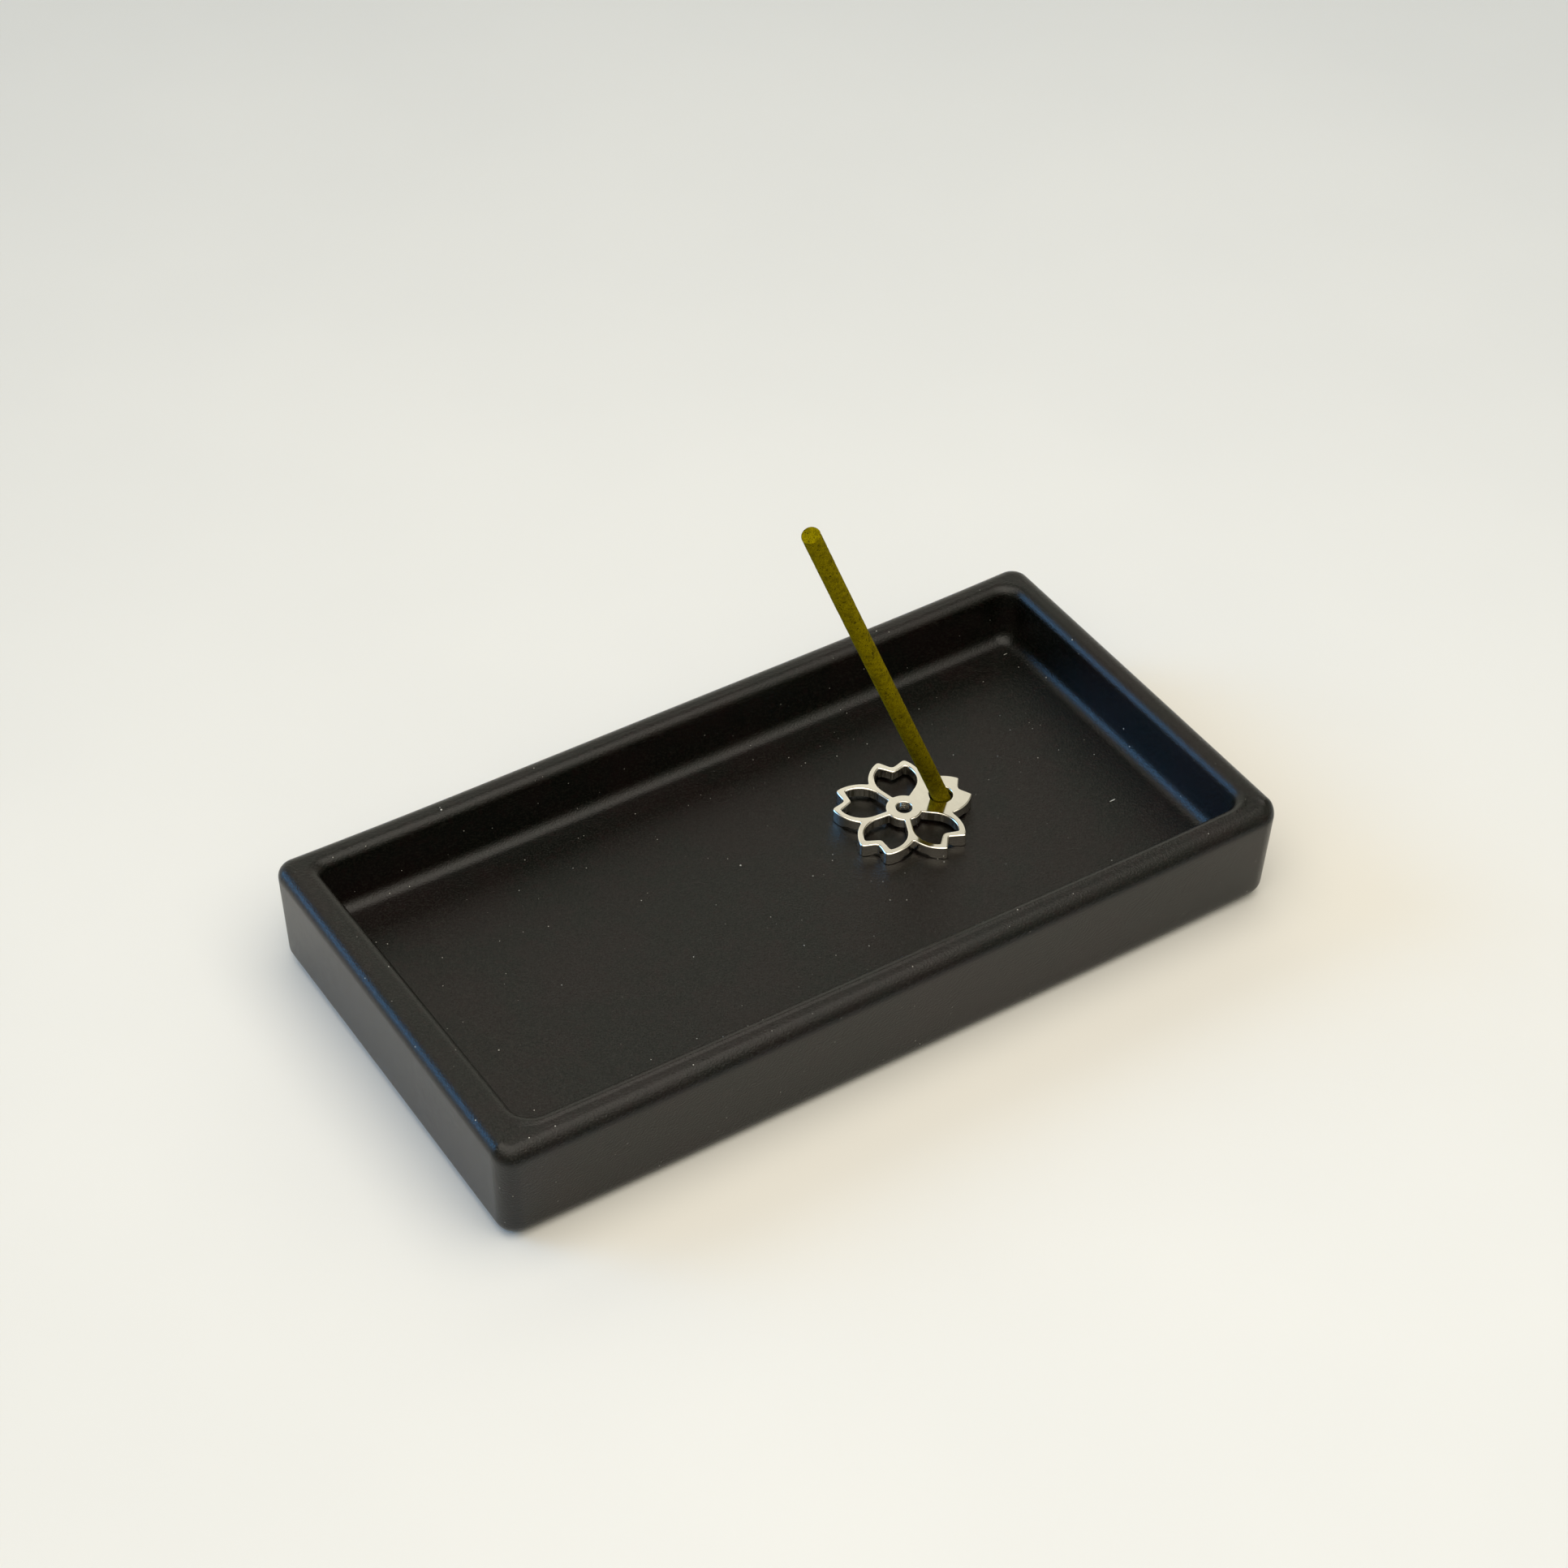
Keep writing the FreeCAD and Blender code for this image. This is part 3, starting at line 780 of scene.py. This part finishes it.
@dataclass
class Stick(Piece):
    """The incense stick: rings along a leaning axis, with a grainy skin and crumbled ends.

    Sizes in millimetres; foot and lean are the lower end's middle and the axis. The roughness
    gives a share, a blur in samples and a seed for the skin's fine and its coarse noise.
    """

    name, node = "stick_rolled", "incense_stick"
    body, slot = Body.STICK, Slot.INCENSE

    foot: Array
    lean: Array
    length: float
    radius: float
    grain: float = 0.012
    roughness: tuple[tuple[float, Span, int], ...] = (
        (0.6, (1.1, 1.1), 21), (0.4, (5.0, 4.0), 22))
    bend: float = 0.10
    worn_end: float = 0.12
    end_gap: float = 0.02
    end_rings: tuple[float, ...] = (0.15, 0.35, 0.55, 0.75, 0.9)
    edge_points: int = 5
    ring_points: int = 72
    rings: int = 620

    @classmethod
    def from_frame(cls) -> "Stick":
        """The stick along its joint's axis, at the size of its solid in the frame."""
        joint = next(joint for joint in frame["joints"] if joint["child"] == Body.STICK.value)
        lean = np.array(joint["axis"], float)
        lean /= norm(lean)
        mesh = frame["nodes"]["incense_stick"].data
        spots = np.empty(len(mesh.vertices) * 3, np.float32)
        mesh.vertices.foreach_get("co", spots)
        spots = spots.reshape(-1, 3).astype(float) / MM
        middle = (spots.min(axis=0) + spots.max(axis=0)) / 2
        along = (spots - middle) @ lean
        away = norm(spots - middle - along[:, None] * lean, axis=1)
        return cls(foot=middle + lean * along.min(), lean=lean,
                   length=float(np.ptp(along)) - cls.end_gap, radius=float(away.max()))

    def surface(self) -> Surface:
        """A tube of rings whose radius carries blurred noise, closed at both ends."""
        across = np.cross(self.lean, (0.0, 0.0, 1.0))
        across /= norm(across)
        third = np.cross(self.lean, across)
        turn = np.linspace(0, 2 * math.pi, self.ring_points, endpoint=False)
        quarter = np.linspace(0, math.pi / 2, self.edge_points)
        inner = np.array(self.end_rings) * (self.radius - self.worn_end)
        rounded = self.radius - self.worn_end * (1 - np.sin(quarter))
        reach = np.concatenate((inner, rounded, np.full(self.rings, self.radius),
                                rounded[::-1], inner[::-1]))
        start = self.worn_end * (1 - np.cos(quarter))
        middle = np.linspace(self.worn_end, self.length - self.worn_end, self.rings + 2)[1:-1]
        height = np.concatenate((np.zeros_like(inner), start, middle,
                                 self.length - start[::-1], np.full_like(inner, self.length)))
        shape = (len(reach), self.ring_points)
        fine, coarse = (share * smooth_noise(shape, blur, seed)
                        for share, blur, seed in self.roughness)
        rough = (fine + coarse) * self.grain
        on_side = (reach > self.radius - self.worn_end)[:, None]
        radius = reach[:, None] + np.where(on_side, np.minimum(rough, self.grain) - self.grain, 0)
        crumble = np.where(on_side, 0.0, rough)
        crumble[height < self.length / 2] = 0.0
        level = height[:, None] + np.minimum(crumble, 0.0)
        way = height / self.length
        drift = self.bend * 4 * way * (1 - way) * np.clip((way - 0.1) / 0.2, 0, 1)
        axis = self.foot + level[..., None] * self.lean + (drift[:, None] * third)[:, None]
        spokes = np.cos(turn)[:, None] * across + np.sin(turn)[:, None] * third
        grid = axis + radius[..., None] * spokes[None]
        ends = np.stack((self.foot, self.foot + self.length * self.lean))
        points = np.concatenate((grid.reshape(-1, 3), ends)) * MM
        rows, columns = shape
        ring = np.arange(columns)
        faces = grid_quads(rows, columns)[:, ::-1].tolist()
        faces += pole_triangles(ring, rows * columns, flip=False).tolist()
        faces += pole_triangles(ring + (rows - 1) * columns, rows * columns + 1, True).tolist()
        return Surface(points, faces)

    def finishes(self) -> tuple:
        """The finishes, by material number."""
        return (IncensePaste(),)


# ---------------------------------------------------------------- finishes


class Graph:
    """A short way to add and join nodes in one tree."""

    def __init__(self, tree: bpy.types.NodeTree) -> None:
        """Empty a tree and keep it."""
        self.tree = tree
        tree.nodes.clear()

    def add(self, kind: str, **settings: object) -> bpy.types.Node:
        """Add a node and set its properties."""
        node = self.tree.nodes.new(kind)
        for name, value in settings.items():
            setattr(node, name, value)
        return node

    def feed(self, target: Socket, value: object) -> None:
        """Link a socket to an input, or set the input to a number or a tuple."""
        if isinstance(value, Socket):
            self.tree.links.new(value, target)
        else:
            target.default_value = value

    def combine(self, operation: str, *values: object, kind: str = "ShaderNodeMath") -> Socket:
        """Combine values with one of the Math or Vector Math node's operations.

        Args:
            operation: the node's operation.
            values: a socket, a number or a tuple for each input.
            kind: the node's type.

        Returns:
            The result's socket.
        """
        node = self.add(kind, operation=operation)
        for target, value in zip(node.inputs, values):
            self.feed(target, value)
        return node.outputs[0]

    def vector(self, operation: str, *values: object) -> Socket:
        """Combine vectors, for an operation that gives a vector."""
        return self.combine(operation, *values, kind="ShaderNodeVectorMath")


class Nodes(Graph):
    """The nodes of one material: a Principled shader that reads Object coordinates."""

    def __init__(self, name: str) -> None:
        """Start the material."""
        self.material = bpy.data.materials.new(name)
        self.material.use_nodes = True
        super().__init__(self.material.node_tree)
        self.shader = self.add("ShaderNodeBsdfPrincipled")
        output = self.add("ShaderNodeOutputMaterial")
        self.feed(output.inputs["Surface"], self.shader.outputs["BSDF"])
        self.place = self.add("ShaderNodeTexCoord").outputs["Object"]

    def set(self, **values: object) -> None:
        """Feed the shader's inputs; an underscore stands for a space in an input's name."""
        for name, value in values.items():
            self.feed(self.shader.inputs[name.replace("_", " ")], value)

    def mapped(self, scale: Triple, degrees: Triple = (0, 0, 0)) -> Socket:
        """Object coordinates, turned about each axis and then scaled along it."""
        mapping = self.add("ShaderNodeMapping")
        mapping.inputs["Rotation"].default_value = [math.radians(turn) for turn in degrees]
        mapping.inputs["Scale"].default_value = scale
        self.feed(mapping.inputs["Vector"], self.place)
        return mapping.outputs["Vector"]

    def noise(self, grain: float, detail: float = 3.0, roughness: float = 0.55,
              place: Socket | None = None) -> Socket:
        """Noise with grains of a size in millimetres.

        Args:
            grain: size of one grain.
            detail: number of finer layers.
            roughness: strength of the finer layers.
            place: coordinates, or None for plain Object coordinates.

        Returns:
            The noise's socket.
        """
        node = self.add("ShaderNodeTexNoise")
        node.inputs["Scale"].default_value = 1 / (grain * MM)
        node.inputs["Detail"].default_value = detail
        node.inputs["Roughness"].default_value = roughness
        self.feed(node.inputs["Vector"], place or self.place)
        return node.outputs["Fac"]

    def remap(self, value: Socket, source: Span, target: Span = (0.0, 1.0)) -> Socket:
        """Carry one range of values onto another and hold it at the ends."""
        node = self.add("ShaderNodeMapRange", interpolation_type="SMOOTHSTEP")
        for name, number in zip(("From Min", "From Max", "To Min", "To Max"), source + target):
            node.inputs[name].default_value = number
        self.feed(node.inputs["Value"], value)
        return node.outputs["Result"]

    def blend(self, amount: Socket, low: object, high: object) -> Socket:
        """Mix two colours, each a tuple or a socket, by an amount."""
        node = self.add("ShaderNodeMix", data_type="RGBA")
        self.feed(node.inputs["Factor"], amount)
        sockets = [socket for socket in node.inputs if socket.type == "RGBA"]
        for socket, colour in zip(sockets, (low, high)):
            self.feed(socket, (*colour, 1.0) if isinstance(colour, tuple) else colour)
        return next(socket for socket in node.outputs if socket.type == "RGBA")

    def mark(self, title: str) -> Socket:
        """A number that the mesh holds for each vertex."""
        return self.add("ShaderNodeAttribute", attribute_name=title).outputs["Fac"]

    def specks(self, spacing: float, size: float, share: float,
               lay: tuple[Triple, float] | None = None) -> Socket:
        """Small scattered dots, or short fibres. Sizes in millimetres.

        Args:
            spacing: size of a cell that may hold a dot.
            size: largest radius of a dot.
            share: share of the cells that hold one.
            lay: for fibres, their turn in degrees about each axis and their width as a share of
                their length.

        Returns:
            A socket that is 0.25 to 1 inside a dot, each its own, and 0 outside.
        """
        cells = self.add("ShaderNodeTexVoronoi", feature="F1")
        cells.inputs["Scale"].default_value = 1 / (spacing * MM)
        place = self.mapped((lay[1], 1.0, 1.0), lay[0]) if lay else self.place
        self.feed(cells.inputs["Vector"], place)
        parts = self.add("ShaderNodeSeparateColor")
        self.feed(parts.inputs["Color"], cells.outputs["Color"])
        chosen = self.remap(parts.outputs["Red"], (1 - share, 1 - share + 0.002))
        radius = self.combine("MULTIPLY", parts.outputs["Green"], size / spacing)
        near = self.combine("LESS_THAN", cells.outputs["Distance"], radius)
        faint = self.combine("ADD", self.combine("MULTIPLY", parts.outputs["Blue"], 0.75), 0.25)
        return self.combine("MULTIPLY", self.combine("MULTIPLY", near, chosen), faint)

    def bump(self, height: Socket, depth: float, below: Socket | None = None) -> Socket:
        """A bump of a depth in millimetres, on top of another one if given."""
        node = self.add("ShaderNodeBump")
        node.inputs["Strength"].default_value = 1.0
        node.inputs["Distance"].default_value = depth * MM
        self.feed(node.inputs["Height"], height)
        if below is not None:
            self.feed(node.inputs["Normal"], below)
        return node.outputs["Normal"]


@dataclass(frozen=True)
class SatinGlaze:
    """Black satin glaze: a fine eggshell, slow tone changes, settled dust and short lint. Lighter specks on the
    eggshell's grain are partly the glaze's own mottle and partly painted sparkle.

    Grains and spacings are in millimetres.
    """

    green: Triple = (0.0006, 0.0012, 0.0004)
    russet: Triple = (0.0036, 0.0012, 0.0010)
    blush: Triple = (0.0070, 0.0020, 0.0020)
    # fleck: lighter specks on the eggshell grain, partly the glaze's own mottle and partly painted sparkle, a
    # glint painted into the colour
    fleck: Triple = (0.0135, 0.0128, 0.0100)
    dust: Triple = (0.62, 0.61, 0.56)
    specular: float = 0.345
    roughness: Span = (0.21, 0.25)
    cloud_grain: float = 14.0
    blush_grain: float = 1.1
    shine_grain: float = 1.3
    eggshell: float = 0.27
    eggshell_depth: float = 0.08
    swell: float = 6.0
    swell_depth: float = 0.02
    pinhole_depth: float = 0.05
    dust_roughness: float = 0.9

    def settled(self, nodes: Nodes) -> Socket:
        """Powder, crumbs and two lays of lint: 0 on clean glaze and up to 1 on a speck."""
        lints = (nodes.specks(5.0, 0.10, 0.5, ((9, 20, 35), 0.12)),
                 nodes.specks(5.5, 0.10, 0.5, ((80, -30, -50), 0.12)))
        spots = nodes.specks(1.3, 0.09, 0.6)
        for more in (nodes.specks(6.5, 0.16, 0.6), *lints):
            spots = nodes.combine("MAXIMUM", spots, more)
        return spots

    def material(self) -> bpy.types.Material:
        """The glaze as a node material."""
        nodes = Nodes("black_satin_glaze")
        cloud = nodes.noise(self.cloud_grain, roughness=0.6)
        grain = nodes.noise(self.eggshell, roughness=0.6)
        blushes = nodes.noise(self.blush_grain, detail=4.0, roughness=0.7)
        tone = nodes.blend(nodes.remap(cloud, (0.42, 0.62)), self.green, self.russet)
        tone = nodes.blend(nodes.remap(blushes, (0.52, 0.64), (0.0, 0.6)), tone, self.blush)
        # Lighter specks on the eggshell grain: partly the glaze's mottle, partly painted sparkle.
        tone = nodes.blend(nodes.remap(grain, (0.46, 0.68), (0.0, 0.8)), tone, self.fleck)
        spots = self.settled(nodes)
        shine = nodes.remap(nodes.noise(self.shine_grain), (0.3, 0.7), self.roughness)
        dull = nodes.combine("MULTIPLY", spots, self.dust_roughness)
        normal = nodes.bump(nodes.noise(self.swell, detail=1.0), self.swell_depth)
        normal = nodes.bump(nodes.specks(3.4, 0.13, 0.5), -self.pinhole_depth, normal)
        normal = nodes.bump(grain, self.eggshell_depth, normal)
        nodes.set(Base_Color=nodes.blend(spots, tone, self.dust), Normal=normal,
                  Roughness=nodes.combine("MAXIMUM", shine, dull),
                  Specular_IOR_Level=self.specular)
        return nodes.material


@dataclass(frozen=True)
class BareClay:
    """Unglazed foot: dry dark stoneware with sandy grains."""

    pale: Triple = (0.105, 0.085, 0.066)
    dark: Triple = (0.050, 0.040, 0.032)
    grain: float = 0.35
    grain_depth: float = 0.03
    roughness: float = 0.85

    def material(self) -> bpy.types.Material:
        """The clay as a node material."""
        nodes = Nodes("bare_clay")
        sand = nodes.noise(self.grain, detail=5.0, roughness=0.65)
        nodes.set(Base_Color=nodes.blend(nodes.remap(sand, (0.35, 0.65)), self.dark, self.pale),
                  Roughness=self.roughness, Normal=nodes.bump(sand, self.grain_depth))
        return nodes.material


@dataclass(frozen=True)
class PolishedMetal:
    """Plated casting: a mirror top, and walls with upright streaks from the trimming die. The streaks' dark colour
    is painted shade, standing in for the dark tray that the walls mirror.

    The mesh marks how far round its edge a point is ("along", in millimetres) and how steep the
    surface is there ("wall", 0 on the faces and 1 on the walls).
    """

    metal: Triple = (0.93, 0.885, 0.80)
    worn: Triple = (0.90, 0.85, 0.76)
    # dull: painted shade, a dark colour on the wall streaks that stands in for the dark tray the walls mirror
    dull: Triple = (0.27, 0.245, 0.18)
    face_roughness: Span = (0.10, 0.14)
    wall_roughness: float = 0.34
    streak: float = 0.30
    streak_depth: float = 0.016
    swell_depth: float = 0.002

    def material(self) -> bpy.types.Material:
        """The metal as a node material."""
        nodes = Nodes("polished_metal")
        along, wall = nodes.mark("along"), nodes.mark("wall")
        streak = nodes.add("ShaderNodeTexNoise", noise_dimensions="1D")
        for name, value in (("Scale", 1 / self.streak), ("Detail", 4.0), ("Roughness", 0.6),
                            ("W", along)):
            nodes.feed(streak.inputs[name], value)
        streaks_and_painted_shade = nodes.combine("MULTIPLY", streak.outputs["Fac"], wall)
        tone = nodes.blend(nodes.remap(nodes.noise(2.5), (0.35, 0.7)), self.metal, self.worn)
        # Painted shade: the wall streaks are darkened towards the dull colour.
        tone = nodes.blend(nodes.remap(streaks_and_painted_shade, (0.4, 0.65)), tone, self.dull)
        hairline = nodes.noise(0.5, detail=4.0, place=nodes.mapped((1.0, 0.2, 1.0)))
        face = nodes.remap(hairline, (0.3, 0.7), self.face_roughness)
        rough = nodes.combine("MULTIPLY", nodes.remap(streaks_and_painted_shade, (0.2, 0.62)), self.wall_roughness)
        soft = nodes.bump(nodes.noise(2.2, detail=1.0), self.swell_depth)
        nodes.set(Base_Color=tone, Metallic=1.0, Roughness=nodes.combine("MAXIMUM", face, rough),
                  Normal=nodes.bump(streaks_and_painted_shade, self.streak_depth, soft))
        return nodes.material


@dataclass(frozen=True)
class IncensePaste:
    """Rolled incense: olive powder with darker flecks and pale crumbs."""

    olive: Triple = (0.245, 0.192, 0.0003)
    deep: Triple = (0.092, 0.071, 0.0002)
    fleck: Triple = (0.012, 0.011, 0.001)
    pale: Triple = (0.36, 0.33, 0.06)
    grain: float = 0.17
    grain_depth: float = 0.035
    cloud_grain: float = 1.1
    roughness: float = 0.95
    specular: float = 0.02

    def material(self) -> bpy.types.Material:
        """The paste as a node material."""
        nodes = Nodes("incense_paste")
        grain = nodes.noise(self.grain, detail=4.0, roughness=0.75)
        cloud = nodes.noise(self.cloud_grain, detail=4.0, roughness=0.65)
        tone = nodes.blend(nodes.remap(grain, (0.36, 0.60)), self.deep, self.olive)
        tone = nodes.blend(nodes.remap(cloud, (0.45, 0.66), (0.0, 0.75)), tone, self.deep)
        tone = nodes.blend(nodes.specks(0.36, 0.17, 0.75), tone, self.fleck)
        tone = nodes.blend(nodes.specks(0.70, 0.09, 0.45), tone, self.pale)
        nodes.set(Base_Color=tone, Roughness=self.roughness, Specular_IOR_Level=self.specular,
                  Normal=nodes.bump(grain, self.grain_depth))
        return nodes.material


@dataclass(frozen=True)
class Paper:
    """Matt pale backdrop paper with a faint tooth."""

    pale: Triple = (0.790, 0.775, 0.742)
    grey: Triple = (0.770, 0.757, 0.727)
    cloud_grain: float = 90.0
    roughness: float = 0.95
    specular: float = 0.1

    def material(self) -> bpy.types.Material:
        """The paper as a node material."""
        nodes = Nodes("backdrop_paper")
        cloud = nodes.remap(nodes.noise(self.cloud_grain), (0.3, 0.7))
        nodes.set(Base_Color=nodes.blend(cloud, self.grey, self.pale),
                  Roughness=self.roughness, Specular_IOR_Level=self.specular)
        return nodes.material


# ---------------------------------------------------------------- room


def direction(azimuth: float, elevation: float) -> Vector:
    """Unit vector towards a place seen from the origin; azimuth 0 is -Y and 90 is +X."""
    turn, rise = math.radians(azimuth), math.radians(elevation)
    return Vector((math.sin(turn) * math.cos(rise), -math.cos(turn) * math.cos(rise),
                   math.sin(rise)))


@dataclass(frozen=True)
class SoftBox:
    """A square light panel that faces the middle of the table.

    Attributes:
        azimuth: direction it comes from, in degrees from -Y towards +X.
        elevation: height above the table, in degrees.
        distance: metres from the table's middle.
        side: width and height in metres.
        power: watts.
        colour: its colour.
    """

    azimuth: float = -17.0
    elevation: float = 78.0
    distance: float = 0.47
    side: float = 0.60
    power: float = 2.4
    colour: Triple = (1.0, 0.94, 0.84)

    def build(self) -> None:
        """Make the light."""
        lamp = bpy.data.lights.new("soft_box", "AREA")
        lamp.shape, lamp.size = "SQUARE", self.side
        lamp.energy, lamp.color = self.power, self.colour
        holder = bpy.data.objects.new("soft_box", lamp)
        way = direction(self.azimuth, self.elevation)
        holder.location = way * self.distance
        holder.rotation_euler = way.to_track_quat("Z", "Y").to_euler()
        bpy.context.scene.collection.objects.link(holder)
        log.info("light %s", holder.name)


@dataclass(frozen=True)
class Room:
    """Pale paper in a bright studio.

    Going over the table from behind it to the front there is a pale wall, a dim ceiling and a
    tall soft window; below the window the room is dark. Behind and to the left a curtain in shade
    has a small blue window to the sky in its middle.
    """

    floor_side: float = 12.0
    seen: Triple = (0.90, 0.885, 0.85)
    bands: tuple[tuple[float, Triple], ...] = (
        (0.00, (0.95, 0.93, 0.79)),
        (0.262, (0.93, 0.91, 0.78)),
        (0.30, (0.16, 0.15, 0.12)),
        (0.42, (0.16, 0.15, 0.12)),
        (0.60, (0.50, 0.48, 0.39)),
        (0.88, (0.50, 0.48, 0.39)),
        (0.93, (0.05, 0.05, 0.04)),
        (1.00, (0.04, 0.04, 0.03)),
    )
    sky_way: Triple = (-0.67, 0.62, 0.41)
    sky: Triple = (2.2, 5.6, 10.5)
    sky_spread: float = 8.5
    shade: Triple = (0.90, 0.88, 0.78)
    shade_spread: float = 17.0

    def paper(self) -> None:
        """A square of paper under the tray's foot."""
        half = self.floor_side / 2
        corners = np.array(((-half, -half, 0), (half, -half, 0), (half, half, 0),
                            (-half, half, 0)))
        sheet = Surface(corners, [[0, 1, 2, 3]]).to_object("paper")
        sheet.data.materials.append(Paper().material())

    def air_light(self) -> None:
        """Light from the wall, ceiling and window, by the angle over the table from the back."""
        world = bpy.data.worlds.new("room")
        bpy.context.scene.world = world
        world.use_nodes = True
        graph = Graph(world.node_tree)
        way = graph.add("ShaderNodeTexCoord").outputs["Generated"]
        parts = graph.add("ShaderNodeSeparateXYZ")
        graph.feed(parts.inputs["Vector"], way)
        over = graph.combine("ARCTAN2", parts.outputs["Z"], parts.outputs["Y"])
        ramp = graph.add("ShaderNodeValToRGB")
        graph.feed(ramp.inputs["Fac"], graph.combine("DIVIDE", over, math.pi))
        stops = ramp.color_ramp.elements
        for stop in range(len(self.bands) - len(stops)):
            stops.new(0.5 + stop / 100)
        for stop, (place_at, colour) in zip(stops, self.bands):
            stop.position, stop.color = place_at, (*colour, 1.0)
        shade, sky = (self.glow(graph, way, *pair) for pair in (
            (self.shade, self.shade_spread), (self.sky, self.sky_spread)))
        unshaded = graph.vector("SUBTRACT", (1.0, 1.0, 1.0), shade)
        lit = graph.vector("ADD", graph.vector("MULTIPLY", ramp.outputs["Color"], unshaded), sky)
        room, plain = graph.add("ShaderNodeBackground"), graph.add("ShaderNodeBackground")
        graph.feed(room.inputs["Color"], lit)
        graph.feed(plain.inputs["Color"], (*self.seen, 1.0))
        pick, output = graph.add("ShaderNodeMixShader"), graph.add("ShaderNodeOutputWorld")
        from_camera = graph.add("ShaderNodeLightPath").outputs["Is Camera Ray"]
        for target, source in zip(pick.inputs, (from_camera, room.outputs["Background"],
                                                plain.outputs["Background"])):
            graph.feed(target, source)
        graph.feed(output.inputs["Surface"], pick.outputs["Shader"])

    def glow(self, graph: Graph, way: Socket, colour: Triple, spread: float) -> Socket:
        """A round patch of colour towards the sky window, with Gaussian edges.

        With k = 1 / spread squared, the colour is multiplied by exp(k * (cosine - 1)).

        Args:
            graph: the world's nodes.
            way: the direction of the ray.
            colour: the colour in the middle.
            spread: angle at which it has fallen to 0.6, in degrees.

        Returns:
            The colour's socket.
        """
        near = graph.add("ShaderNodeVectorMath", operation="DOT_PRODUCT")
        graph.feed(near.inputs[0], way)
        graph.feed(near.inputs[1], Vector(self.sky_way).normalized())
        sharp = 1 / math.radians(spread) ** 2
        power = graph.combine("MULTIPLY_ADD", near.outputs["Value"], sharp, -sharp)
        tint = graph.add("ShaderNodeVectorMath", operation="SCALE")
        graph.feed(tint.inputs[0], colour)
        graph.feed(tint.inputs["Scale"], graph.combine("EXPONENT", power))
        return tint.outputs["Vector"]

    def build(self) -> None:
        """Make the paper, the air's light and the soft box."""
        self.paper()
        self.air_light()
        SoftBox().build()


@dataclass(frozen=True)
class View:
    """The camera: where it looks, from which side, how far and with which lens."""

    look_at: Triple = (0.01729, 0.02612, 0.0)
    azimuth: float = -33.50
    elevation: float = 42.12
    roll: float = 1.187
    distance: float = 0.5617
    lens: float = 81.28
    sensor: float = 36.0

    def build(self) -> bpy.types.Object:
        """Make the camera and set it as the scene's.

        Returns:
            The camera object.
        """
        back = direction(self.azimuth, self.elevation)
        level = Vector((0, 0, 1)).cross(back).normalized()
        upright = back.cross(level)
        turn = math.radians(self.roll)
        right = math.cos(turn) * level + math.sin(turn) * upright
        upward = math.cos(turn) * upright - math.sin(turn) * level
        camera = bpy.data.cameras.new("camera")
        camera.lens, camera.sensor_width = self.lens, self.sensor
        camera.clip_start, camera.clip_end = 0.01, 20.0
        holder = bpy.data.objects.new("camera", camera)
        place_at = Vector(self.look_at) + back * self.distance
        axes = Matrix((right, upward, back)).transposed().to_4x4()
        holder.matrix_world = Matrix.Translation(place_at) @ axes
        bpy.context.scene.collection.objects.link(holder)
        bpy.context.scene.camera = holder
        return holder


def main() -> None:
    """Build the room and every piece in order."""
    logging.basicConfig(level=logging.INFO, format="%(name)s: %(message)s")
    bpy.context.scene.view_settings.view_transform = "Standard"
    View().build()
    Room().build()
    for part in (Tray.from_frame(), Flower.from_frame(), Stick.from_frame()):
        part.build()


if __name__ == "__main__":
    main()
